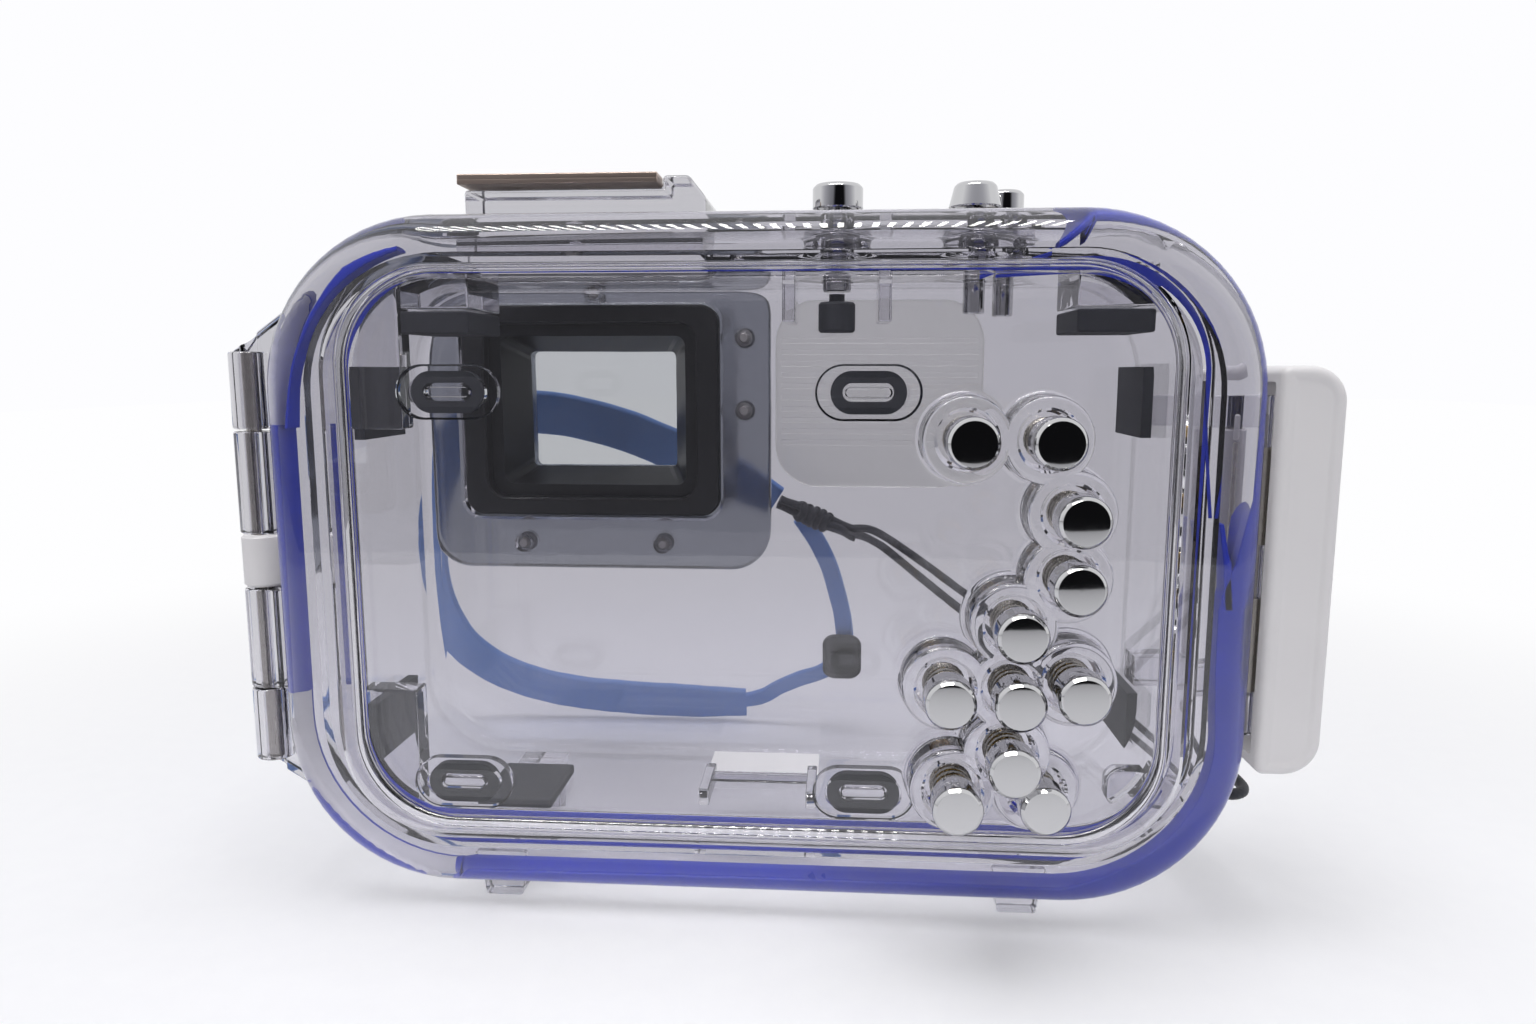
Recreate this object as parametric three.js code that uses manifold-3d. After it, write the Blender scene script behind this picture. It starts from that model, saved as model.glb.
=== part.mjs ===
// Underwater housing for a compact camera: a clear front case, a clear rear cover on a side
// hinge, a face seal between them, a toggle latch, fourteen push buttons, a lens port and a
// wrist strap.
// Millimetres. Seen from behind, X runs right and Z up; Y runs forward through the lens.
// The parting face of case and cover is y = 0 until the last lines, which move the origin to
// the middle of the footprint.
import * as THREE from "three";
import { mergeVertices } from "three/addons/utils/BufferGeometryUtils.js";
import Module from "manifold-3d";

const wasm = await Module();
wasm.setup();

// Outline shared by the case flange and the rear cover
const coverWidth = 128;
const coverHeight = 90.2;
const coverCorner = 23;
const wall = 3;
const fit = 0.3;
const overrun = 1;

// Rear cover
const coverDepth = 9.5;
const rimRound = 5;
const rimSide = 12;
const rimTop = 7.6;
const rimBottom = 10.4;
const windowCorner = 12;
const windowRecess = 2;
const windowCove = 1.6;

// Camera cavity and front case
const cavitySide = 8.2;
const cavityTop = 7.6;
const cavityBottom = 7.6;
const cavityCorner = 13;
const cavityDepth = 26.5;
const flangeDepth = 4;
const caseRound = 4;

// Face seal in the cover's groove
const sealInset = 1.4;
const sealWidth = 3;
const sealDepth = 3.2;
const sealRound = 0.6;

// Hinge on the left
const hingeReach = 5.7;
const hingeMiddleRise = 44;
const knuckleRadius = 2.6;
const knuckleLength = 14.5;
const pinRadius = 1;
const bushLength = 7.2;
const earLength = 10.8;
const earSlopeRun = 16;

// Latch on the right
const latchWidth = 8;
const latchHeight = 52.4;
const latchRearProud = 6.6;
const latchRise = 44.8;
const latchGap = 1.3;
const latchCorner = 4.6;
const latchWall = 2;
const latchSideWall = 2.4;
const leverPinForward = 20.6;
const leverBarrelRadius = 2.6;
const leverBarrelLength = 34.4;
const leverLugLength = 4.5;
const leverPinRadius = 1;
const hookPinForward = 9;
const hookPinOut = 2;
const hookPinRadius = 0.8;
const hookEyeRadius = 1.8;
const hookLength = 32;
const hookThickness = 1.2;
const hookNotch = 7;
const earThickness = 3.4;
const catchReach = 2.2;
const catchDepth = 2.2;
const catchLength = 45;
const sliderLength = 10;
const sliderWidth = 8;
const sliderDepth = 1;
const sliderTravel = 3;
const sliderSlot = 2.2;

// Rear push buttons
const capRadius = 3.1;
const capLength = 4.2;
const capChamfer = 0.5;
const stemRadius = 1.5;
const bossRadius = 5.4;
const bossHeight = 5;
const bossChamfer = 0.7;
const wellRadius = 3.6;
const wellDepth = 3.4;
const rearTravel = 2;
const collarRadius = 2.1;
const collarLength = 1;
const tipProud = 1.3;
const lowCapDrop = 3;

// Cushions that press on the camera's display
const cushionLength = 9.7;
const cushionHeight = 5.5;
const cushionDepth = 2;
const cushionHoleLength = 6.6;
const cushionHoleHeight = 2;
const cushionRingLength = 13.6;
const cushionRingHeight = 7.2;
const cushionRingDepth = 1.5;

// Top push buttons
const topButtonForward = 12;
const powerX = 10.8;
const powerRadius = 3.55;
const powerStemRadius = 2;
const powerStemDrop = 1.3;
const shutterX = 29.9;
const shutterBaseRadius = 3.65;
const shutterTopRadius = 3;
const movieOut = 5.1;
const movieForward = 7;
const movieRadius = 2.8;
const topCapLength = 3.5;
const topTravel = 1.5;
const topBossHeight = 5.3;
const topBossRim = 1;
const topStemDrop = 4.4;
const powerTipRadius = 2.6;
const powerTipLength = 4.2;
const powerStubRadius = 1.1;
const powerStubLength = 1.1;
const guideLength = 5.6;
const guideThickness = 1.8;
const guideSpan = 13.2;

// Lens port
const portCentreX = -28.1;
const portSideRoom = 7.45;
const portEndRoom = 7;
const portCorner = 6.5;
const portFlange = 3;
const portLength = 20.2;
const noseWall = 1.9;
const noseCorner = 3.4;
const noseFlare = 1.5;
const mouthWall = 2.5;
const hoodShiftX = -0.7;
const hoodShiftZ = 2.1;
const hoodWidth = 41.8;
const hoodHeight = 33.8;
const hoodCorner = 3;
const hoodLedgeSide = 3.75;
const hoodLedgeEnd = 2.9;
const hoodWall = 1.3;
const hoodStepDepth = 2.6;
const hoodLength = 10.5;
const glassSideRoom = 4.65;
const glassEndRoom = 4.25;
const glassMargin = 2.2;
const glassDepth = 2.5;
const glassCorner = 0.8;
const screwRadius = 1.1;
const screwHeadRadius = 1.6;
const screwHeadDepth = 1.2;
const screwInset = 4.2;

// Flash window
const flashWidth = 33;
const flashHeight = 30;
const flashDepth = 1.6;
const flashCorner = 7;
const flashGap = 0.8;

// Accessory shoe
const shoeWidth = 34.3;
const shoeX = -24.6;
const shoeRear = 6;
const shoeDepth = 19;
const shoeHeight = 11.6;
const shoeNeckInset = 2.6;
const shoePlateDepth = 1.4;
const shoeStop = 6;
const shoeChamfer = 3;

// Feet
const footHeight = 5.8;
const footTopWidth = 7.6;
const footBottomWidth = 5.4;
const footDepth = 4.6;
const footRear = 0.6;

// Pads that hold the camera
const padDepth = 1.5;
const padLength = 13;
const padHeight = 10;
const padForwardLeft = 1.5;
const padForwardRight = 13;
const topPadDepth = 3;
const topPadDrop = 4;
const topPadLength = 10;
const floorPadWidth = 10.6;

// Blank label, cavity ribs and strap eyelet
const labelWidth = 17.2;
const labelLength = 8.6;
const labelDepth = 0.3;
const labelForward = 15.6;
const ribHeight = 2.4;
const ribThickness = 1.5;
const ribForward = 5;
const ribLength = 10;
const eyeletReach = 2.4;
const eyeletHeight = 5.4;
const eyeletDepth = 3;
const eyeletRise = 9.4;
const eyeletHole = 1.7;

// Wrist strap: a leaning plane carries the band, with its own u, v points
const bandWidth = 8.6;
const bandDepth = 1.6;
const linkWidth = 3.6;
const linkDepth = 1.2;
const cordRadius = 0.6;
const strapForward = 77.5;
const strapRise = 4.6;
const strapLean = THREE.MathUtils.degToRad(69);
const knotLength = 13;
const knotWidth = 4.6;
const knotDepth = 3;
const strapSliderLength = 11;
const strapSliderWidth = 8;
const strapSliderDepth = 2.4;

// Facets
const cornerSteps = 4;
const pillSteps = 2;
const roundSteps = 16;
const smallSteps = 10;
const edgeSteps = 4;
const sealSteps = 2;

// Places as shares of the window's half width and half height, from the window's middle
const buttonShares = [
  [0.512, 0.432],
  [0.7, 0.432],
  [0.76, 0.183],
  [0.756, -0.039],
  [0.635, -0.199],
  [0.477, -0.427],
  [0.635, -0.429],
  [0.777, -0.402],
  [0.627, -0.659],
  [0.5, -0.795],
  [0.712, -0.823],
];
const lowButton = buttonShares.length - 1;
const cushionShares = [
  [-0.767, 0.584],
  [0.288, 0.584],
  [-0.767, -0.898],
  [0.288, -0.898],
];
// Screws of the port as shares of its half width and half height inside the screw inset
const screwShares = [
  [1, 0.7],
  [1, 0.11],
  [0.44, -1],
  [-0.52, -1],
  [0, 1.09],
];
// Each foot's place as a share of the cover's half width
const footShares = [-0.578, 0.578];
// Middle heights of the side pads as shares of the cavity height, from its floor
const upperPadShare = 0.777;
const lowerPadShare = 0.142;
// Places along X as shares of the cavity's half width
const topPadShares = [-0.784, 0.84];
const floorPadShare = -0.623;
const ribShares = [-0.142, 0.138];

// Faces worked out from the driving dimensions
const box = (left, right, low, high) => ({ left, right, low, high });
const grown = (b, by) => box(b.left - by, b.right + by, b.low - by, b.high + by);
const outline = box(-coverWidth / 2, coverWidth / 2, footHeight, footHeight + coverHeight);
const windowBox = box(
  outline.left + rimSide,
  outline.right - rimSide,
  outline.low + rimBottom,
  outline.high - rimTop,
);
const cavity = box(
  outline.left + cavitySide,
  outline.right - cavitySide,
  outline.low + cavityBottom,
  outline.high - cavityTop,
);
const caseBox = grown(cavity, wall);
const coverRear = -coverDepth;
const windowRear = coverRear + windowRecess;
const windowFront = windowRear + wall;
const caseFront = cavityDepth + wall;
const windowMiddleX = (windowBox.left + windowBox.right) / 2;
const windowMiddleZ = (windowBox.low + windowBox.high) / 2;
const windowHalfX = (windowBox.right - windowBox.left) / 2;
const windowHalfZ = (windowBox.high - windowBox.low) / 2;
const cavityHeight = cavity.high - cavity.low;
const hingeX = outline.left - hingeReach;
const hingeZ = outline.low + hingeMiddleRise;
const leverPinX = outline.right + latchGap + latchWidth - latchSideWall - fit - leverBarrelRadius;
const latchLeft = outline.right + latchGap;
const latchRight = latchLeft + latchWidth;
const latchZ = outline.low + latchRise;
const latchRear = -latchRearProud;
const hookPinX = outline.right + hookPinOut;
const hoodStepWidth = hoodWidth - 2 * hoodLedgeSide;
const hoodStepHeight = hoodHeight - 2 * hoodLedgeEnd;
const hoodBodyWidth = hoodStepWidth + 2 * hoodWall;
const hoodBodyHeight = hoodStepHeight + 2 * hoodWall;
const glassWidth = hoodStepWidth - 2 * glassSideRoom;
const glassHeight = hoodStepHeight - 2 * glassEndRoom;
const noseWidth = hoodBodyWidth + 2 * noseWall;
const noseHeight = hoodBodyHeight + 2 * noseWall;
const mouthWidth = noseWidth + 2 * noseFlare - 2 * mouthWall;
const mouthHeight = noseHeight + 2 * noseFlare - 2 * mouthWall;
const portWidth = hoodWidth + 2 * portSideRoom;
const portHeight = hoodHeight + 2 * portEndRoom;
const portRear = caseFront + fit;
const portFront = portRear + portLength;
const portZ = caseBox.high - portHeight / 2;
const hoodX = portCentreX + hoodShiftX;
const hoodZ = portZ + hoodShiftZ;
const hoodRear = cavityDepth + fit;
const hoodShelf = hoodRear + wall;
const hoodFront = hoodRear + hoodLength;
const glassRear = hoodFront + fit;
const glassFront = glassRear + glassDepth;
const topBoss = caseBox.high + topBossHeight;
const topCapLow = topBoss + topTravel + fit;
const movieX = shutterX + movieOut;
const movieY = topButtonForward + movieForward;
const capRear = windowRear - bossHeight - rearTravel - fit - capLength;
const placeOnWindow = ([x, z]) => [
  windowMiddleX + x * windowHalfX,
  windowMiddleZ + z * windowHalfZ,
];

// Solids
function solidOf(geometry) {
  const bare = geometry.index ? geometry.toNonIndexed() : geometry.clone();
  bare.deleteAttribute("normal");
  bare.deleteAttribute("uv");
  const merged = mergeVertices(bare);
  const index = Array.from(merged.index.array);
  const triangles = [];
  for (let i = 0; i < index.length; i += 3) {
    const [a, b, c] = index.slice(i, i + 3);
    if (a !== b && b !== c && c !== a) triangles.push(a, b, c);
  }
  const vertProperties = merged.attributes.position.array;
  const build = (verts) =>
    new wasm.Manifold(
      new wasm.Mesh({ numProp: 3, vertProperties, triVerts: new Uint32Array(verts) }),
    );
  const solid = build(triangles);
  return solid.volume() < 0 ? build(triangles.reverse()) : solid;
}

function geometryOf(solid) {
  const mesh = solid.getMesh();
  const geometry = new THREE.BufferGeometry();
  geometry.setAttribute("position", new THREE.BufferAttribute(mesh.vertProperties, 3));
  geometry.setIndex(new THREE.BufferAttribute(mesh.triVerts, 1));
  geometry.computeVertexNormals();
  return geometry;
}

const join = (...solids) => solids.reduce((whole, next) => whole.add(next));
const cut = (whole, ...solids) => solids.reduce((rest, next) => rest.subtract(next), whole);

// Outlines in the X and Z plane, or in X and Y for what runs along Z
function roundedShape(b, radius) {
  const shape = new THREE.Shape();
  const quarter = Math.PI / 2;
  shape.moveTo(b.left + radius, b.low);
  shape.absarc(b.right - radius, b.low + radius, radius, -quarter, 0);
  shape.absarc(b.right - radius, b.high - radius, radius, 0, quarter);
  shape.absarc(b.left + radius, b.high - radius, radius, quarter, 2 * quarter);
  shape.absarc(b.left + radius, b.low + radius, radius, 2 * quarter, 3 * quarter);
  shape.closePath();
  return shape;
}

const around = (x, z, width, height) =>
  box(x - width / 2, x + width / 2, z - height / 2, z + height / 2);
const polygonShape = (points) => new THREE.Shape(points.map(([x, y]) => new THREE.Vector2(x, y)));

function alongY(shape, rear, front, steps = cornerSteps) {
  const geometry = new THREE.ExtrudeGeometry(shape, {
    depth: front - rear,
    bevelEnabled: false,
    curveSegments: steps,
  });
  geometry.rotateX(Math.PI / 2);
  geometry.translate(0, front, 0);
  return solidOf(geometry);
}

// An extrusion along Y whose edges are rounded inside the shape at both ends
function roundedAlongY(shape, rear, front, radius, steps = edgeSteps) {
  const geometry = new THREE.ExtrudeGeometry(shape, {
    depth: front - rear - 2 * radius,
    bevelThickness: radius,
    bevelSize: radius,
    bevelOffset: -radius,
    bevelSegments: steps,
    curveSegments: cornerSteps,
  });
  geometry.rotateX(Math.PI / 2);
  geometry.translate(0, front - radius, 0);
  return solidOf(geometry);
}

// A straight-sided funnel about one middle, from its width and height behind to those in front
function funnel(x, z, rearSize, frontSize, corner, rear, front) {
  const [width, height] = rearSize;
  const geometry = new THREE.ExtrudeGeometry(
    roundedShape(around(0, 0, width, height), corner),
    { depth: front - rear, bevelEnabled: false, curveSegments: cornerSteps },
  );
  geometry.rotateX(Math.PI / 2);
  const place = geometry.attributes.position;
  for (let i = 0; i < place.count; i += 1) {
    const atFront = place.getY(i) > (rear - front) / 2;
    place.setX(i, place.getX(i) * (atFront ? frontSize[0] / width : 1));
    place.setZ(i, place.getZ(i) * (atFront ? frontSize[1] / height : 1));
  }
  geometry.translate(x, front, z);
  return solidOf(geometry);
}

function block(left, right, rear, front, low, high) {
  const geometry = new THREE.BoxGeometry(right - left, front - rear, high - low);
  geometry.translate((left + right) / 2, (rear + front) / 2, (low + high) / 2);
  return solidOf(geometry);
}

function rodY(radius, rear, front, x, z, steps = roundSteps) {
  const geometry = new THREE.CylinderGeometry(radius, radius, front - rear, steps);
  geometry.translate(x, (rear + front) / 2, z);
  return solidOf(geometry);
}

function rodZ(radius, low, high, x, y, steps = roundSteps) {
  const geometry = new THREE.CylinderGeometry(radius, radius, high - low, steps);
  geometry.rotateX(Math.PI / 2);
  geometry.translate(x, y, (low + high) / 2);
  return solidOf(geometry);
}

// A body turned about Y from its profile of radius and height points
function turned(points, steps = roundSteps) {
  const profile = points.map(([radius, y]) => new THREE.Vector2(radius, y));
  return solidOf(new THREE.LatheGeometry(profile, steps));
}

const moved = (solid, x, y, z) => solid.translate([x, y, z]);

// Materials
const clearPlastic = new THREE.MeshStandardMaterial({
  color: "#dfe2ea",
  roughness: 0.06,
  transparent: true,
  opacity: 0.35,
});
const smokePlastic = new THREE.MeshStandardMaterial({
  color: "#84888f",
  roughness: 0.3,
  transparent: true,
  opacity: 0.7,
});
const frostPlastic = new THREE.MeshStandardMaterial({
  color: "#e4e4e2",
  roughness: 0.6,
  transparent: true,
  opacity: 0.7,
});
const blackPlastic = new THREE.MeshStandardMaterial({ color: "#15161a", roughness: 0.45 });
const whitePlastic = new THREE.MeshStandardMaterial({ color: "#e8e6e6", roughness: 0.35 });
const blackRubber = new THREE.MeshStandardMaterial({ color: "#2c2e34", roughness: 0.8 });
const blueSilicone = new THREE.MeshStandardMaterial({ color: "#1b2f96", roughness: 0.4 });
const blueStrap = new THREE.MeshStandardMaterial({ color: "#4a6fb4", roughness: 0.7 });
const chrome = new THREE.MeshStandardMaterial({
  color: "#d9dadc",
  roughness: 0.06,
  metalness: 1,
});
const steel = new THREE.MeshStandardMaterial({
  color: "#9c9a97",
  roughness: 0.25,
  metalness: 1,
});
const paper = new THREE.MeshStandardMaterial({ color: "#f4f4f2", roughness: 0.6 });

function piece(name, solid, material) {
  const mesh = new THREE.Mesh(geometryOf(solid), material);
  mesh.name = name;
  return mesh;
}

// Front case: flange, body, hinge ears, port opening, top bosses, latch lugs and feet
function hingeEar(side) {
  const start = knuckleLength + bushLength / 2 + fit;
  const left = hingeX - knuckleRadius;
  const halfHeight = coverHeight / 2;
  const slopeEnd = outline.left + earSlopeRun;
  const middle = outline.low + halfHeight;
  const points = [
    [left, hingeZ + side * (start + fit)],
    [left, hingeZ + side * (start + earLength)],
    [slopeEnd, middle + side * halfHeight],
    [slopeEnd, hingeZ + side * (start + fit)],
  ];
  const low = Math.min(points[0][1], points[1][1]);
  const high = Math.max(points[0][1], points[1][1]);
  return join(
    alongY(polygonShape(side > 0 ? points : points.reverse()), 0, flangeDepth),
    rodZ(knuckleRadius, low, high, hingeX, 0),
  );
}

function foot(share, rear, top) {
  const x = share * coverWidth / 2;
  const points = [
    [x - footTopWidth / 2, top],
    [x - footBottomWidth / 2, 0],
    [x + footBottomWidth / 2, 0],
    [x + footTopWidth / 2, top],
  ];
  return alongY(polygonShape(points), rear, rear + footDepth);
}

function latchLugs() {
  const reach = leverBarrelLength / 2 + fit;
  return [-1, 1].map((side) => {
    const ends = [latchZ + side * reach, latchZ + side * (reach + leverLugLength)];
    const low = Math.min(...ends);
    const high = Math.max(...ends);
    const rear = leverPinForward - leverBarrelRadius;
    const front = leverPinForward + leverBarrelRadius;
    return join(
      block(cavity.right + fit, leverPinX, rear, front, low, high),
      rodZ(leverBarrelRadius, low, high, leverPinX, leverPinForward),
    );
  });
}

function shoeBase() {
  const left = shoeX - shoeWidth / 2;
  const right = shoeX + shoeWidth / 2;
  const top = caseBox.high + shoeHeight;
  const ledge = top - shoePlateDepth - fit;
  const low = caseBox.high - wall / 2;
  const stopLeft = right - shoeStop;
  const points = [
    [left, low],
    [right, low],
    [right, top - shoeChamfer],
    [right - shoeChamfer * shoeSlopeShare, top],
    [stopLeft, top],
    [stopLeft, ledge],
    [left, ledge],
  ];
  return alongY(
    polygonShape(points),
    shoeRear + shoeNeckInset,
    shoeRear + shoeDepth - shoeNeckInset,
  );
}

function topBosses() {
  const low = caseBox.high - wall / 2;
  return join(
    rodZ(powerRadius + topBossRim, low, topBoss, powerX, topButtonForward),
    rodZ(shutterBaseRadius + topBossRim, low, topBoss, shutterX, topButtonForward),
    rodZ(movieRadius + topBossRim, low, topBoss, movieX, movieY),
  );
}

function stemBores() {
  const low = cavity.high - overrun;
  const high = topBoss + overrun;
  return [
    rodZ(powerStemRadius + fit, low, high, powerX, topButtonForward, smallSteps),
    rodZ(stemRadius + fit, low, high, shutterX, topButtonForward, smallSteps),
    rodZ(stemRadius + fit, low, high, movieX, movieY, smallSteps),
  ];
}

function padCarriers() {
  const rear = padForwardLeft;
  const top = cavity.high + wall / 2;
  return topPadShares.map((share) => {
    const x = share * (cavity.right - cavity.left) / 2;
    const low = cavity.high - topPadDrop;
    return block(x - topPadLength / 2, x + topPadLength / 2, rear, rear + padLength, low, top);
  });
}

function cavityRibs() {
  const low = cavity.low - wall / 2;
  const high = cavity.low + ribHeight;
  const rear = ribForward;
  const front = ribForward + ribLength;
  const half = (cavity.right - cavity.left) / 2;
  const ribs = ribShares.map((share) => {
    const left = share * half - ribThickness / 2;
    return block(left, left + ribThickness, rear, front, low, high);
  });
  const crossBar = block(
    ribShares[0] * half,
    ribShares[1] * half,
    front - ribThickness,
    front,
    low,
    high - ribHeight / 2,
  );
  const guides = [-1, 1].map((side) => {
    const x = powerX + side * guideSpan / 2;
    return block(
      x - guideThickness / 2,
      x + guideThickness / 2,
      topButtonForward - ribLength / 2,
      topButtonForward + ribLength / 2,
      cavity.high - guideLength,
      cavity.high + wall / 2,
    );
  });
  return [...ribs, crossBar, ...guides];
}

function eyelet() {
  const right = outline.right + eyeletReach;
  const left = cavity.right - cavityCorner / 2;
  const low = outline.low + eyeletRise;
  const rear = flangeDepth + fit;
  const shape = roundedShape(box(left, right, low, low + eyeletHeight), eyeletHeight / 3);
  return cut(
    alongY(shape, rear, rear + eyeletDepth),
    rodY(
      eyeletHole,
      rear - overrun,
      rear + eyeletDepth + overrun,
      right - eyeletHeight / 2,
      low + eyeletHeight / 2,
      smallSteps,
    ),
  );
}

function frontCase() {
  const flange = alongY(roundedShape(outline, coverCorner), 0, flangeDepth);
  const longBody = roundedAlongY(
    roundedShape(caseBox, cavityCorner + wall),
    -2 * caseRound,
    caseFront,
    caseRound,
  );
  const behind = alongY(
    roundedShape(grown(outline, wall), coverCorner),
    -caseFront,
    0,
  );
  const body = longBody.subtract(behind);
  const hollow = alongY(roundedShape(cavity, cavityCorner), -overrun, cavityDepth);
  const shell = cut(
    join(
      flange,
      body,
      hingeEar(1),
      hingeEar(-1),
      ...latchLugs(),
      shoeBase(),
      topBosses(),
      eyelet(),
      ...footShares.map((share) => foot(share, footRear, outline.low + wall / 2)),
      ...footShares.map((share) =>
        foot(share, caseFront - caseRound - footDepth, caseBox.low + wall / 2),
      ),
    ),
    hollow,
  );
  const portHole = alongY(
    roundedShape(around(hoodX, hoodZ, hoodWidth + 2 * fit, hoodHeight + 2 * fit), hoodCorner),
    cavityDepth - overrun,
    caseFront + overrun,
  );
  const screwHoles = screwPlaces().map(([x, z]) =>
    rodY(screwRadius + fit, cavityDepth + wall / 2, caseFront + overrun, x, z, smallSteps),
  );
  const hingeBore = rodZ(
    pinRadius + fit,
    outline.low,
    outline.high,
    hingeX,
    0,
    smallSteps,
  );
  const latchBore = rodZ(
    leverPinRadius + fit,
    outline.low,
    outline.high,
    leverPinX,
    leverPinForward,
    smallSteps,
  );
  return cut(
    join(shell, ...padCarriers(), ...cavityRibs()),
    portHole,
    ...screwHoles,
    ...stemBores(),
    hingeBore,
    latchBore,
  );
}

// Lens port: smoky housing with a flared mouth, stepped black hood, glass and screws
function screwPlaces() {
  const halfX = portWidth / 2 - screwInset;
  const halfZ = portHeight / 2 - screwInset;
  return screwShares.map(([x, z]) => [portCentreX + x * halfX, portZ + z * halfZ]);
}

function portHousing() {
  const flangeFront = portRear + portFlange;
  const flange = alongY(
    roundedShape(around(portCentreX, portZ, portWidth, portHeight), portCorner),
    portRear,
    flangeFront,
  );
  const nose = funnel(
    hoodX,
    hoodZ,
    [noseWidth, noseHeight],
    [noseWidth + 2 * noseFlare, noseHeight + 2 * noseFlare],
    noseCorner,
    portRear,
    portFront,
  );
  const rooms = [
    [hoodWidth, hoodHeight, portRear - overrun, hoodShelf + fit],
    [hoodBodyWidth, hoodBodyHeight, portRear - overrun, hoodFront + fit],
    [glassWidth + 2 * glassMargin, glassHeight + 2 * glassMargin, hoodFront, glassFront + fit],
  ].map(([width, height, rear, front]) =>
    alongY(
      roundedShape(around(hoodX, hoodZ, width + 2 * fit, height + 2 * fit), hoodCorner),
      rear,
      front,
    ),
  );
  const throat = alongY(
    roundedShape(around(hoodX, hoodZ, glassWidth, glassHeight), glassCorner),
    hoodFront,
    portFront + overrun,
  );
  const mouth = funnel(
    hoodX,
    hoodZ,
    [glassWidth, glassHeight],
    [mouthWidth, mouthHeight],
    glassCorner,
    glassFront + 2 * fit,
    portFront + fit,
  );
  const bores = screwPlaces().flatMap(([x, z]) => [
    rodY(screwRadius + fit, portRear - overrun, flangeFront + overrun, x, z, smallSteps),
    rodY(
      screwHeadRadius + fit,
      flangeFront - screwHeadDepth,
      portFront + overrun,
      x,
      z,
      smallSteps,
    ),
  ]);
  return cut(flange.add(nose), ...rooms, throat, mouth, ...bores);
}

function portHood() {
  const shelf = alongY(
    roundedShape(around(hoodX, hoodZ, hoodWidth, hoodHeight), hoodCorner),
    hoodRear,
    hoodShelf,
  );
  const body = alongY(
    roundedShape(around(hoodX, hoodZ, hoodBodyWidth, hoodBodyHeight), hoodCorner),
    hoodRear,
    hoodFront,
  );
  const step = alongY(
    roundedShape(around(hoodX, hoodZ, hoodStepWidth, hoodStepHeight), hoodCorner),
    hoodRear - overrun,
    hoodRear + hoodStepDepth,
  );
  const throat = alongY(
    roundedShape(around(hoodX, hoodZ, glassWidth, glassHeight), glassCorner),
    hoodRear,
    hoodFront + overrun,
  );
  const taper = funnel(
    hoodX,
    hoodZ,
    [hoodStepWidth - wall, hoodStepHeight - wall],
    [glassWidth, glassHeight],
    glassCorner,
    hoodRear + hoodStepDepth / 2,
    hoodFront - fit,
  );
  return cut(shelf.add(body), step, throat, taper);
}

function portGlass() {
  const shape = roundedShape(
    around(hoodX, hoodZ, glassWidth + 2 * glassMargin, glassHeight + 2 * glassMargin),
    hoodCorner,
  );
  return alongY(shape, glassRear, glassFront);
}

function portScrew() {
  const tip = cavityDepth + wall / 2 + fit;
  const seat = portRear + portFlange - screwHeadDepth + fit;
  const top = seat + screwHeadDepth - fit;
  return turned(
    [
      [0, tip],
      [screwRadius, tip],
      [screwRadius, seat],
      [screwHeadRadius, seat],
      [screwHeadRadius, top],
      [0, top],
    ],
    smallSteps,
  );
}

function flashDiffuser() {
  const left = portCentreX + portWidth / 2 + flashGap;
  const high = caseBox.high - caseRound;
  const b = box(left, left + flashWidth, high - flashHeight, high);
  return alongY(roundedShape(b, flashCorner), caseFront + fit, caseFront + fit + flashDepth);
}

// Shoe plate with its two overhanging lips
const shoeSlopeShare = 0.8;
function shoePlate() {
  const left = shoeX - shoeWidth / 2;
  const right = shoeX + shoeWidth / 2 - shoeStop - fit;
  const top = caseBox.high + shoeHeight;
  return block(left, right, shoeRear, shoeRear + shoeDepth, top - shoePlateDepth, top);
}

// Hinge pin and the bush between the two cover knuckles
function hingePin() {
  const half = bushLength / 2 + knuckleLength + earLength;
  return rodZ(pinRadius, hingeZ - half, hingeZ + half, hingeX, 0, smallSteps);
}

function hingeBush() {
  const half = bushLength / 2;
  return cut(
    rodZ(knuckleRadius, hingeZ - half, hingeZ + half, hingeX, 0),
    rodZ(pinRadius + fit, hingeZ - half - overrun, hingeZ + half + overrun, hingeX, 0, smallSteps),
  );
}

// Rear cover: domed rim, recessed window, button bosses, seal groove, knuckles and catch
function buttonBoss([x, z], drop) {
  const height = bossHeight - drop;
  const boss = turned([
    [0, wall / 2],
    [bossRadius, wall / 2],
    [bossRadius, bossChamfer - height],
    [bossRadius - bossChamfer, -height],
    [0, -height],
  ]);
  return moved(boss, x, windowRear, z);
}

const bossDrops = buttonShares.map((share, i) => (i === lowButton ? lowCapDrop : 0));

function buttonBores([x, z], drop) {
  const rear = windowRear - bossHeight + drop;
  const depth = drop > 0 ? wellDepth - drop / 2 : wellDepth;
  return [
    rodY(wellRadius, rear - 2 * bossHeight, rear + depth, x, z),
    rodY(stemRadius + fit, rear, windowFront + overrun, x, z, smallSteps),
  ];
}

function pill(x, z, length, height, rear, front) {
  return alongY(roundedShape(around(x, z, length, height), height / 2), rear, front, pillSteps);
}

function cushionRing([x, z]) {
  const rear = windowFront - wall / 2;
  const front = windowFront + cushionRingDepth;
  const room = pill(
    x,
    z,
    cushionLength + 2 * fit,
    cushionHeight + 2 * fit,
    windowFront,
    front + overrun,
  );
  return join(
    pill(x, z, cushionRingLength, cushionRingHeight, rear, front).subtract(room),
    pill(x, z, cushionHoleLength - 2 * fit, cushionHoleHeight - 2 * fit, rear, front),
  );
}

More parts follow.
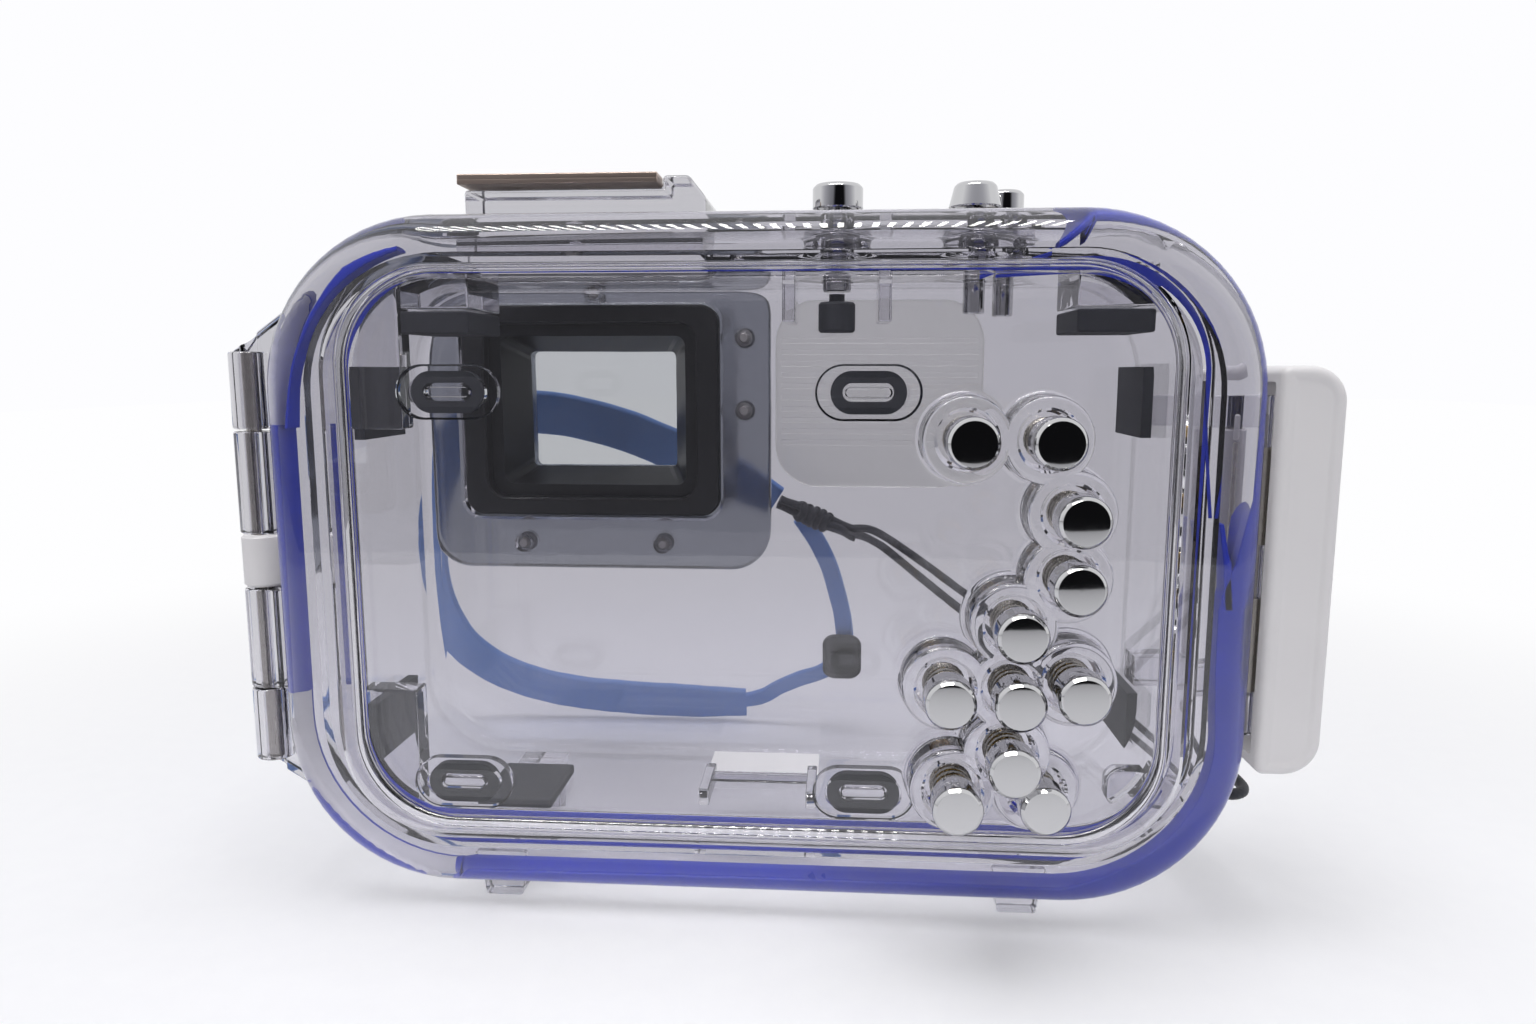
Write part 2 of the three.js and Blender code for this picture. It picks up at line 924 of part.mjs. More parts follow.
function coverKnuckle(side) {
  const ends = [
    hingeZ + side * (bushLength / 2 + fit),
    hingeZ + side * (bushLength / 2 + knuckleLength),
  ];
  const low = Math.min(...ends);
  const high = Math.max(...ends);
  return join(
    rodZ(knuckleRadius, low, high, hingeX, 0),
    block(hingeX, outline.left + sealInset / 2, -knuckleRadius, -fit, low, high),
  );
}

function sealRing(outer, inner, rear, front) {
  const ring = alongY(roundedShape(grown(outline, -outer), coverCorner - outer), rear, front);
  const hole = alongY(
    roundedShape(grown(outline, -inner), coverCorner - inner),
    rear - overrun,
    front + overrun,
  );
  return ring.subtract(hole);
}

function rearCover() {
  const dome = roundedAlongY(
    roundedShape(outline, coverCorner),
    coverRear,
    2 * rimRound,
    rimRound,
  );
  const ahead = alongY(roundedShape(grown(outline, wall), coverCorner), -fit, caseFront);
  const cove = roundedAlongY(
    roundedShape(grown(windowBox, windowCove), windowCorner + windowCove),
    coverRear - 2 * windowCove - windowRecess,
    windowRear,
    windowCove,
  );
  const pocket = alongY(roundedShape(cavity, cavityCorner), coverRear + wall, overrun);
  const pane = alongY(
    roundedShape(grown(windowBox, windowRecess), windowCorner + windowRecess),
    windowRear,
    windowFront,
  );
  const groove = sealRing(
    sealInset,
    sealInset + sealWidth + 2 * fit,
    -fit - sealDepth,
    overrun,
  );
  const shell = cut(dome, ahead, cove, pocket, groove).add(pane);
  const places = buttonShares.map(placeOnWindow);
  const catchRail = block(
    outline.right - sealInset / 2,
    outline.right + catchReach,
    -fit - catchDepth,
    -fit,
    latchZ - catchLength / 2,
    latchZ + catchLength / 2,
  );
  return cut(
    join(
      shell,
      ...places.map((place, i) => buttonBoss(place, bossDrops[i])),
      ...cushionShares.map(placeOnWindow).map(cushionRing),
      coverKnuckle(1),
      coverKnuckle(-1),
      catchRail,
    ),
    ...places.flatMap((place, i) => buttonBores(place, bossDrops[i])),
    rodZ(pinRadius + fit, outline.low, outline.high, hingeX, 0, smallSteps),
  );
}

function mainSeal() {
  const outer = sealInset + fit;
  const inner = outer + sealWidth;
  const rear = -sealDepth;
  const body = roundedAlongY(
    roundedShape(grown(outline, -outer), coverCorner - outer),
    rear,
    -fit,
    sealRound,
    sealSteps,
  );
  const hole = alongY(
    roundedShape(grown(outline, -inner), coverCorner - inner),
    rear - overrun,
    overrun,
  );
  return body.subtract(hole);
}

function lcdCushion() {
  const front = windowFront + fit + cushionDepth;
  return pill(0, 0, cushionLength, cushionHeight, windowFront + fit, front).subtract(
    pill(0, 0, cushionHoleLength, cushionHoleHeight, windowFront, front + overrun),
  );
}

// Rear button: cap, collar and stem about Y, with its origin on the cap's rear face
function rearButton() {
  const tip = windowFront + tipProud - capRear;
  return turned([
    [0, 0],
    [capRadius - capChamfer, 0],
    [capRadius, capChamfer],
    [capRadius, capLength],
    [collarRadius, capLength],
    [collarRadius, capLength + collarLength],
    [stemRadius, capLength + collarLength],
    [stemRadius, tip],
    [0, tip],
  ]);
}

// Top buttons about Y, turned upright when placed, with their origin on the cap's top
function topButton(baseRadius, topRadius, stem, drop) {
  const low = topCapLow - cavity.high + drop;
  return turned([
    [0, 0],
    [topRadius - capChamfer, 0],
    [topRadius, capChamfer],
    [baseRadius, topCapLength],
    [stem, topCapLength],
    [stem, topCapLength + low],
    [0, topCapLength + low],
  ]);
}

function powerTip() {
  const high = cavity.high - powerStemDrop - fit;
  const tip = turned([
    [0, 0],
    [powerTipRadius, 0],
    [powerTipRadius, powerTipLength],
    [powerStubRadius, powerTipLength],
    [powerStubRadius, powerTipLength + powerStubLength],
    [0, powerTipLength + powerStubLength],
  ]);
  return { tip, high };
}

// Latch: toggle lever, steel hook, their pins and the lock slider
function latchLever() {
  const z = box(0, 0, latchZ - latchHeight / 2, latchZ + latchHeight / 2);
  const shellBox = box(latchLeft - 2 * latchCorner, latchRight, z.low, z.high);
  const outer = alongY(roundedShape(shellBox, latchCorner), latchRear, leverPinForward);
  const innerBox = box(
    shellBox.left - overrun,
    latchRight - latchSideWall,
    z.low + latchWall,
    z.high - latchWall,
  );
  const hollow = alongY(
    roundedShape(innerBox, latchCorner - latchWall),
    latchRear + latchWall,
    leverPinForward + overrun,
  );
  const trim = block(
    shellBox.left - 2 * overrun,
    latchLeft,
    latchRear - overrun,
    leverPinForward + overrun,
    z.low - overrun,
    z.high + overrun,
  );
  const half = leverBarrelLength / 2;
  const barrel = join(
    rodZ(leverBarrelRadius, latchZ - half, latchZ + half, leverPinX, leverPinForward),
    block(
      leverPinX,
      latchRight - latchSideWall / 2,
      leverPinForward - leverBarrelRadius,
      leverPinForward,
      latchZ - half,
      latchZ + half,
    ),
  );
  const ears = [-1, 1].map((side) => {
    const ends = [
      latchZ + side * (hookLength / 2 + fit),
      latchZ + side * (hookLength / 2 + fit + earThickness),
    ];
    const low = Math.min(...ends);
    const high = Math.max(...ends);
    return join(
      rodZ(hookEyeRadius, low, high, hookPinX, hookPinForward),
      block(
        hookPinX,
        latchRight - latchSideWall / 2,
        hookPinForward - hookEyeRadius,
        hookPinForward + hookEyeRadius,
        low,
        high,
      ),
    );
  });
  const sliderPocket = block(
    latchRight - sliderDepth - fit,
    latchRight + overrun,
    hookPinForward - sliderWidth - fit,
    hookPinForward + fit,
    latchZ - sliderLength / 2 - fit,
    latchZ + sliderLength / 2 + sliderTravel + fit,
  );
  const middle = hookPinForward - sliderWidth / 2;
  const slot = block(
    latchRight - 2 * latchSideWall,
    latchRight + overrun,
    middle - sliderSlot / 2,
    middle + sliderSlot / 2,
    latchZ - sliderLength / 4 - fit,
    latchZ + sliderLength / 4 + sliderTravel + fit,
  );
  return cut(
    join(cut(outer, hollow, trim), barrel, ...ears),
    rodZ(leverPinRadius + fit, outline.low, outline.high, leverPinX, leverPinForward, smallSteps),
    rodZ(hookPinRadius + fit, outline.low, outline.high, hookPinX, hookPinForward, smallSteps),
    sliderPocket,
    slot,
  );
}

function latchHook() {
  const half = hookLength / 2;
  const armLeft = outline.right + catchReach + fit;
  const clawFront = -2 * fit - catchDepth;
  const plate = block(
    armLeft,
    armLeft + hookThickness,
    clawFront - hookThickness,
    hookPinForward,
    latchZ - half,
    latchZ + half,
  );
  const claw = block(
    outline.right + fit,
    armLeft + hookThickness,
    clawFront - hookThickness,
    clawFront,
    latchZ - half,
    latchZ + half,
  );
  const notch = block(
    outline.right,
    armLeft,
    clawFront - 2 * hookThickness,
    clawFront + overrun,
    latchZ - hookNotch / 2,
    latchZ + hookNotch / 2,
  );
  const eye = rodZ(hookEyeRadius, latchZ - half, latchZ + half, hookPinX, hookPinForward);
  return cut(
    join(plate, claw, eye),
    notch,
    rodZ(
      hookPinRadius + fit,
      latchZ - half - overrun,
      latchZ + half + overrun,
      hookPinX,
      hookPinForward,
      smallSteps,
    ),
  );
}

function leverPin() {
  const half = leverBarrelLength / 2 + fit + leverLugLength;
  return rodZ(
    leverPinRadius,
    latchZ - half,
    latchZ + half,
    leverPinX,
    leverPinForward,
    smallSteps,
  );
}

function hookPin() {
  const half = hookLength / 2 + fit + earThickness;
  return rodZ(hookPinRadius, latchZ - half, latchZ + half, hookPinX, hookPinForward, smallSteps);
}

function lockSlider() {
  const middle = hookPinForward - sliderWidth / 2;
  const plate = block(
    latchRight - sliderDepth,
    latchRight,
    middle - sliderWidth / 2,
    middle + sliderWidth / 2,
    latchZ - sliderLength / 2,
    latchZ + sliderLength / 2,
  );
  const stud = block(
    latchRight - latchSideWall,
    latchRight - sliderDepth / 2,
    middle - sliderSlot / 2 + fit,
    middle + sliderSlot / 2 - fit,
    latchZ - sliderLength / 4,
    latchZ + sliderLength / 4,
  );
  const grooves = [-1, 0, 1].map((step) =>
    block(
      latchRight - sliderDepth / 3,
      latchRight + overrun,
      middle - sliderWidth / 2 - overrun,
      middle + sliderWidth / 2 + overrun,
      latchZ + step * sliderLength / 4 - sliderDepth / 2,
      latchZ + step * sliderLength / 4 + sliderDepth / 2,
    ),
  );
  return cut(join(plate, stud), ...grooves);
}

// Pads on the cavity walls, and the blank label on its floor
function sidePad(side, share) {
  const middle = cavity.low + share * cavityHeight;
  const face = side < 0 ? cavity.left + fit : cavity.right - fit;
  const rear = side < 0 ? padForwardLeft : padForwardRight;
  const room = alongY(
    roundedShape(grown(cavity, -fit), cavityCorner - fit),
    rear - overrun,
    rear + padLength + overrun,
  );
  return block(
    side < 0 ? face - overrun : face - padDepth,
    side < 0 ? face + padDepth : face + overrun,
    rear,
    rear + padLength,
    middle - padHeight / 2,
    middle + padHeight / 2,
  ).intersect(room);
}

function floorPad() {
  const x = floorPadShare * (cavity.right - cavity.left) / 2;
  return block(
    x - floorPadWidth / 2,
    x + floorPadWidth / 2,
    padForwardLeft,
    padForwardLeft + padLength,
    cavity.low + fit,
    cavity.low + fit + padDepth,
  );
}

function topPad(share) {
  const x = share * (cavity.right - cavity.left) / 2;
  const high = cavity.high - topPadDrop - fit;
  return block(
    x - topPadLength / 2,
    x + topPadLength / 2,
    padForwardLeft,
    padForwardLeft + padLength,
    high - topPadDepth,
    high,
  );
}

function blankLabel() {
  const low = cavity.low + fit;
  return block(
    -labelWidth / 2,
    labelWidth / 2,
    labelForward,
    labelForward + labelLength,
    low,
    low + labelDepth,
  );
}

// Wrist strap: routes chosen by hand, u to the right and v up the leaning plane
const bandRoute = [
  [-0.6, 50.2],
  [-7.7, 54.3],
  [-15.3, 58.4],
  [-22, 61.7],
  [-28.3, 64.5],
  [-34.8, 66.6],
  [-41.3, 68],
  [-48, 68.3],
  [-55, 66.4],
  [-63.1, 60.4],
  [-69.2, 49.3],
  [-72.6, 35.1],
  [-72.4, 25.1],
  [-69, 15],
  [-63, 8.6],
  [-55, 4.4],
  [-45.3, 1.9],
  [-32, 0.6],
  [-18.7, 0.1],
  [-8.2, 0.1],
];
const linkRoute = [
  [4.2, 46.2],
  [7, 41.5],
  [9.4, 36],
  [11.2, 29.2],
  [12.6, 22],
  [12.9, 16.5],
  [11.6, 11.8],
  [8.2, 8.8],
  [3.5, 6.8],
  [-1.2, 4.2],
  [-4.2, 2],
  [-7.4, 0.9],
];
// Cord routes in space: the first leaves the eyelet forwards, the second round its edge
const cordRoutes = [
  [
    [63.7, 5.9, 17.9],
    [63.7, 9, 17.9],
    [63.4, 14, 17.7],
    [62.2, 21, 17.4],
    [59.6, 29, 17.8],
    [55, 37.4, 19.4],
    [48.6, 44.6, 22.6],
    [41, 50.6, 27.2],
    [33, 55.4, 32.6],
    [25.6, 59.2, 38],
    [20.4, 61.2, 41.9],
    [18.4, 61.9, 43.3],
  ],
  [
    [63.7, 5.6, 17.9],
    [63.8, 4.4, 17.9],
    [64.6, 3.1, 17.9],
    [66.1, 2.5, 17.9],
    [67.6, 3.1, 17.9],
    [68.6, 4.8, 17.9],
    [68.8, 8, 17.9],
    [68.3, 14, 17.9],
    [66.6, 22, 17.9],
    [63.4, 30.6, 18.6],
    [58.4, 39, 20.6],
    [51.4, 46.4, 24.2],
    [43.2, 52.4, 29.2],
    [34.6, 56.8, 34.8],
    [26.6, 60, 40.2],
    [21.2, 61.8, 43.6],
    [18.9, 62.4, 45],
  ],
];
const knotPlace = [9.4, 46.6];
const knotTurn = -0.44;
const sliderPlace = [12.4, 14.2];
const bandSteps = 44;
const linkSteps = 20;
const cordSteps = [40, 48];
const cordSides = 8;

// A flat ribbon along a plane route, as wide as it says within that plane
function ribbon(route, width, depth, steps) {
  const path = new THREE.CatmullRomCurve3(route.map(([u, v]) => new THREE.Vector3(u, v, 0)));
  const chamfer = depth / 3;
  const side = depth / 2;
  const edge = width / 2;
  const shape = polygonShape([
    [side, chamfer - edge],
    [side, edge - chamfer],
    [side - chamfer, edge],
    [chamfer - side, edge],
    [-side, edge - chamfer],
    [-side, chamfer - edge],
    [chamfer - side, -edge],
    [side - chamfer, -edge],
  ]);
  return solidOf(
    new THREE.ExtrudeGeometry(shape, { steps, bevelEnabled: false, extrudePath: path }),
  );
}

function cord(route, steps) {
  const path = new THREE.CatmullRomCurve3(route.map((p) => new THREE.Vector3(...p)));
  const circle = new THREE.Shape();
  circle.absarc(0, 0, cordRadius, 0, 2 * Math.PI);
  return solidOf(
    new THREE.ExtrudeGeometry(circle, {
      steps,
      curveSegments: cordSides / 2,
      bevelEnabled: false,
      extrudePath: path,
    }),
  );
}

function strapKnot() {
  const half = knotLength / 2;
  const thick = knotDepth / 2;
  const shape = new THREE.Shape();
  shape.moveTo(-half, 0);
  shape.quadraticCurveTo(-half, knotWidth / 2, -half / 2, knotWidth / 2);
  shape.quadraticCurveTo(0, knotWidth / 2, half, thick / 2);
  shape.lineTo(half, -thick / 2);
  shape.quadraticCurveTo(0, -knotWidth / 2, -half / 2, -knotWidth / 2);
  shape.quadraticCurveTo(-half, -knotWidth / 2, -half, 0);
  const geometry = new THREE.ExtrudeGeometry(shape, {
    depth: knotDepth,
    bevelEnabled: false,
    curveSegments: edgeSteps,
  });
  geometry.translate(0, 0, -thick);
  return solidOf(geometry);
}

function strapSlider() {
  const rise = linkDepth / 2 + fit;
  const shape = roundedShape(
    around(0, 0, strapSliderWidth, strapSliderLength),
    strapSliderWidth / 3,
  );
  const geometry = new THREE.ExtrudeGeometry(shape, {
    depth: strapSliderDepth,
    bevelEnabled: false,
    curveSegments: edgeSteps,
  });
  geometry.translate(0, 0, rise);
  return solidOf(geometry);
}

// Assembly
const frontGroup = new THREE.Group();
frontGroup.add(
  piece("front_case", frontCase(), clearPlastic),
  piece("port_housing", portHousing(), smokePlastic),
  piece("port_hood", portHood(), blackPlastic),
  piece("port_glass", portGlass(), clearPlastic),
  piece("flash_diffuser", flashDiffuser(), frostPlastic),
  piece("shoe_plate", shoePlate(), steel),
  piece("hinge_pin", hingePin(), steel),
  piece("hinge_bush", hingeBush(), whitePlastic),
  piece("pad_left_upper", sidePad(-1, upperPadShare), blackRubber),
  piece("pad_left_lower", sidePad(-1, lowerPadShare), blackRubber),
  piece("pad_right_upper", sidePad(1, upperPadShare), blackRubber),
  piece("pad_right_lower", sidePad(1, lowerPadShare), blackRubber),
  piece("pad_floor", floorPad(), blackRubber),
  piece("pad_top_left", topPad(topPadShares[0]), blackRubber),
  piece("pad_top_right", topPad(topPadShares[1]), blackRubber),
  piece("blank_label", blankLabel(), paper),
);
screwPlaces().forEach(([x, z], i) => {
  const screw = piece(`port_screw_${i + 1}`, portScrew(), steel);
  screw.position.set(x, 0, z);
  frontGroup.add(screw);
});

const coverGroup = new THREE.Group();
coverGroup.add(
  piece("rear_cover", rearCover(), clearPlastic),
  piece("main_seal", mainSeal(), blueSilicone),
);
cushionShares.map(placeOnWindow).forEach(([x, z], i) => {
  const cushion = piece(`lcd_cushion_${i + 1}`, lcdCushion(), blackRubber);
  cushion.position.set(x, 0, z);
  coverGroup.add(cushion);
});
buttonShares.map(placeOnWindow).forEach(([x, z], i) => {
  const number = String(i + 1).padStart(2, "0");
  const button = piece(`rear_button_${number}`, rearButton(), chrome);
  button.position.set(x, capRear + bossDrops[i], z);
  coverGroup.add(button);
});

const topGroup = new THREE.Group();
const topPlaces = [
  ["power_button", powerX, topButtonForward],
  ["shutter_button", shutterX, topButtonForward],
  ["movie_button", movieX, movieY],
];
const topBodies = [
  topButton(powerRadius, powerRadius, powerStemRadius, powerStemDrop),
  topButton(shutterBaseRadius, shutterTopRadius, stemRadius, topStemDrop),
  topButton(movieRadius, movieRadius, stemRadius, topStemDrop),
];
topPlaces.forEach(([name, x, y], i) => {
  const button = piece(name, topBodies[i], chrome);
  button.rotation.x = -Math.PI / 2;
  button.position.set(x, y, topCapLow + topCapLength);
  topGroup.add(button);
});
const { tip, high: tipHigh } = powerTip();
const tipMesh = piece("power_tip", tip, blackRubber);
tipMesh.rotation.x = -Math.PI / 2;
tipMesh.position.set(powerX, topButtonForward, tipHigh);
topGroup.add(tipMesh);

const latchGroup = new THREE.Group();
latchGroup.add(
  piece("latch_lever", latchLever(), whitePlastic),
  piece("latch_hook", latchHook(), steel),
  piece("lever_pin", leverPin(), steel),
  piece("hook_pin", hookPin(), steel),
  piece("lock_slider", lockSlider(), whitePlastic),
);

const strapPlane = new THREE.Group();
strapPlane.position.set(0, strapForward, strapRise);
strapPlane.rotation.x = Math.PI - strapLean;
const knot = piece("strap_knot", strapKnot(), blackRubber);
knot.position.set(...knotPlace, (bandDepth + knotDepth) / 2 + fit);
knot.rotation.z = knotTurn;
const buckle = piece("strap_slider", strapSlider(), blackPlastic);
buckle.position.set(...sliderPlace, 0);
strapPlane.add(
  piece("strap_band", ribbon(bandRoute, bandWidth, bandDepth, bandSteps), blueStrap),
  piece("strap_link", ribbon(linkRoute, linkWidth, linkDepth, linkSteps), blueStrap),
  knot,
  buckle,
);
const strapGroup = new THREE.Group();
strapGroup.add(
  strapPlane,
  piece("strap_cord_1", cord(cordRoutes[0], cordSteps[0]), blackRubber),
  piece("strap_cord_2", cord(cordRoutes[1], cordSteps[1]), blackRubber),
);

const housing = new THREE.Group();
housing.add(frontGroup, coverGroup, topGroup, latchGroup, strapGroup);
housing.position.set(
  -(hingeX - knuckleRadius + latchRight) / 2,
  -(capRear + portFront) / 2,
  0,
);
export default housing;
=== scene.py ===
# %% [markdown]
# # An underwater camera housing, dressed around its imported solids
# Everything made here is fitted to them: clear shells with soft edges, mirror caps, springs,
# the seal, the port and the wrist strap.

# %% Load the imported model
import math

import bmesh
import bpy
import numpy as np
from mathutils import Matrix, Vector


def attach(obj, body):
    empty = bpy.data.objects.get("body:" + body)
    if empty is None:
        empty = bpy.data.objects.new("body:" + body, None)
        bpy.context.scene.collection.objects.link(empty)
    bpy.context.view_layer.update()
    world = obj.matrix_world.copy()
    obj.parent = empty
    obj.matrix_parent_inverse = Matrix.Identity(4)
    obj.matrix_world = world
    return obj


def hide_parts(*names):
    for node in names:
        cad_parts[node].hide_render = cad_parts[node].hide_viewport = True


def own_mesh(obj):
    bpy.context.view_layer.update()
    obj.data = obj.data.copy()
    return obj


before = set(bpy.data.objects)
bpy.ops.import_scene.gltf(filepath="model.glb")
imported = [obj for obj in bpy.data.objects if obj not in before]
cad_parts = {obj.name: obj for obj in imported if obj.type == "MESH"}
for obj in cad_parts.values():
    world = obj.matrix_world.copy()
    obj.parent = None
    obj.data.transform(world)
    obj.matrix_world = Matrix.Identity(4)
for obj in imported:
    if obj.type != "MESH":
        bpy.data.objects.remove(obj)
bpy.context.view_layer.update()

# %% [markdown]
# The solids are in metres with the origin in the middle of the footprint. The housing was drawn
# in millimetres from the middle of its parting face, and those are the sizes on its drawing, so
# one function turns a drawing point into a scene point.

# %% Drawing millimetres to scene metres
MM = 0.001
DRAWING_SHIFT = (-0.5, -15.5, 0.0)


def at(x, y, z):
    return Vector((x + DRAWING_SHIFT[0], y + DRAWING_SHIFT[1], z)) * MM

# %% [markdown]
# ## Camera
# The photograph looks at the back of the housing, a little from above and a little from the
# right of its middle. The lens was found from edges that are straight and square on the object:
# 1000 pixels of focal length for a picture 1536 pixels wide.

# %% The camera
PICTURE_WIDTH = 1536
FOCAL_PIXELS = 1000
SENSOR_WIDTH = 36
CAMERA_PLACE = (11.14, -133.7, 76.28)
LOOK_DOWN = math.radians(8.1)
TURN_LEFT = math.radians(4.0)

camera_data = bpy.data.cameras.new("photo_camera")
camera_data.sensor_width = SENSOR_WIDTH
camera_data.lens = SENSOR_WIDTH * FOCAL_PIXELS / PICTURE_WIDTH
camera_data.clip_start = 0.005
camera = bpy.data.objects.new("photo_camera", camera_data)
camera.location = at(*CAMERA_PLACE)
camera.rotation_euler = (math.pi / 2 - LOOK_DOWN, 0, TURN_LEFT)
bpy.context.scene.collection.objects.link(camera)
bpy.context.scene.camera = camera
bpy.context.scene.view_settings.view_transform = "Standard"
print("lens", round(camera_data.lens, 2), "mm")

# %% [markdown]
# ## Small helpers for materials
# Colours are written as sRGB hex, as a paint chart gives them, and turned to linear light once.
# One function adds a shader node, sets its values and links its sockets.

# %% Colour and node helpers


def linear(code):
    channels = [int(code[i : i + 2], 16) / 255 for i in (1, 3, 5)]
    return (*(c / 12.92 if c <= 0.04045 else ((c + 0.055) / 1.055) ** 2.4 for c in channels), 1.0)


def add_node(tree, kind, values=(), links=()):
    node = tree.nodes.new(kind)
    for key, value in dict(values).items():
        if isinstance(key, int) or key in node.inputs:
            node.inputs[key].default_value = value
        else:
            setattr(node, key, value)
    for key, socket in dict(links).items():
        tree.links.new(socket, node.inputs[key])
    return node


def new_material(name):
    material = bpy.data.materials.new(name)
    material.use_nodes = True
    material.node_tree.nodes.clear()
    return material, material.node_tree


# A pattern's feature size in millimetres as a texture scale, for coordinates in metres
def per_mm(size):
    return 1 / (size * MM)

# %% [markdown]
# ## Clear polycarbonate
# The case and the cover are moulded in clear polycarbonate. It bends light more than acrylic,
# IOR 1.585, takes a faint violet tint from its stabiliser and shows slow flow waves from the
# mould. A real refracting shader gives the doubled blue seal and the bright edges. Rays from
# lamps pass straight through, so that the inside is lit as softly as the real one.

# %% Clear polycarbonate
POLYCARBONATE_IOR = 1.585


def clear_plastic(name, tint, shade, low_gloss, high_gloss, wave_size, wave_height):
    material, tree = new_material(name)
    place = add_node(tree, "ShaderNodeTexCoord").outputs["Object"]
    waves = add_node(
        tree, "ShaderNodeTexNoise", {"Scale": per_mm(wave_size), "Detail": 2.0}, {"Vector": place}
    )
    gloss = add_node(
        tree,
        "ShaderNodeMapRange",
        {"To Min": low_gloss, "To Max": high_gloss},
        {"Value": waves.outputs[0]},
    )
    bump = add_node(
        tree,
        "ShaderNodeBump",
        {"Strength": 1.0, "Distance": wave_height * MM},
        {"Height": waves.outputs[0]},
    )
    plastic = add_node(
        tree,
        "ShaderNodeBsdfPrincipled",
        {"Base Color": linear(tint), "Transmission Weight": 1.0, "IOR": POLYCARBONATE_IOR},
        {"Roughness": gloss.outputs[0], "Normal": bump.outputs[0]},
    )
    through = add_node(tree, "ShaderNodeBsdfTransparent", {"Color": linear(shade)})
    rays = add_node(tree, "ShaderNodeLightPath").outputs
    mix = add_node(
        tree,
        "ShaderNodeMixShader",
        links={0: rays["Is Shadow Ray"], 1: plastic.outputs[0], 2: through.outputs[0]},
    )
    add_node(tree, "ShaderNodeOutputMaterial", links={"Surface": mix.outputs[0]})
    return material


CLEAR_CASE = clear_plastic("clear_polycarbonate", "#E6E5EA", "#FBFBFC", 0.0, 0.02, 9.0, 0.012)
SMOKE_PORT = clear_plastic("smoke_polycarbonate", "#979BA3", "#C3C5CA", 0.12, 0.2, 3.0, 0.01)
PORT_GLASS = clear_plastic("port_glass", "#F1F5F4", "#FBFBFC", 0.0, 0.004, 30.0, 0.0)
FROST = clear_plastic("frosted_flash_window", "#EFEFEC", "#F4F4F2", 0.45, 0.6, 0.4, 0.01)
print("clear materials: case, smoke, glass, frost")

# %% [markdown]
# ## Metals
# The caps are brass, plated with bright chrome and polished: a mirror with only a trace of
# haze. Springs, pins and hook are stainless steel, drawn or rolled, so fine lines run along
# them. The shoe plate is a warmer rolled steel, the port's screws are tumbled until they are
# matt, and the sleeves are turned brass.

# %% Chrome, steel and brass


def metal(name, colour, low_gloss, high_gloss, line_size, stretch, depth):
    material, tree = new_material(name)
    place = add_node(tree, "ShaderNodeTexCoord").outputs["Object"]
    stretched = add_node(tree, "ShaderNodeMapping", {"Scale": stretch}, {"Vector": place})
    lines = add_node(
        tree,
        "ShaderNodeTexNoise",
        {"Scale": per_mm(line_size), "Detail": 3.0},
        {"Vector": stretched.outputs[0]},
    )
    gloss = add_node(
        tree,
        "ShaderNodeMapRange",
        {"To Min": low_gloss, "To Max": high_gloss},
        {"Value": lines.outputs[0]},
    )
    bump = add_node(
        tree,
        "ShaderNodeBump",
        {"Strength": 1.0, "Distance": depth * MM},
        {"Height": lines.outputs[0]},
    )
    surface = add_node(
        tree,
        "ShaderNodeBsdfPrincipled",
        {"Base Color": linear(colour), "Metallic": 1.0},
        {"Roughness": gloss.outputs[0], "Normal": bump.outputs[0]},
    )
    add_node(tree, "ShaderNodeOutputMaterial", links={"Surface": surface.outputs[0]})
    return material


CHROME = metal("polished_chrome", "#C6C6C7", 0.03, 0.09, 2.0, (1, 1, 1), 0.0)
STEEL = metal("brushed_stainless_steel", "#B9B5AF", 0.18, 0.34, 0.25, (1, 1, 0.05), 0.004)
SHOE_STEEL = metal("rolled_steel_plate", "#B8A79C", 0.3, 0.45, 0.3, (0.04, 1, 1), 0.003)
SCREW_STEEL = metal("tumbled_steel_screw", "#D9D7D2", 0.5, 0.6, 0.3, (1, 1, 1), 0.004)
BRASS = metal("turned_brass", "#C9A45A", 0.2, 0.35, 0.3, (1, 0.2, 1), 0.003)
print("metals: chrome, three steels, brass")

# %% [markdown]
# ## Moulded plastics and rubber
# White and black parts are ABS, moulded with a fine spark-eroded grain. The real one is too fine
# to show, so it is drawn at 0.3 mm. The pads are closed-cell rubber with cut sides. The seal is
# glossy silicone, deep blue on its lip. Its carrier is pale, which is painted light: it stands in
# for the bright band of light that the domed rim shows over the seal. The strap is a softer
# silicone with a matt skin.

# %% Opaque plastics and rubbers
GLOSS_SPREAD = 0.06
MOULDED_IOR = 1.5

# The Mix node's colour sockets share their names with others, so they go by number
MIX_FIRST, MIX_SECOND, MIX_COLOUR = 6, 7, 2


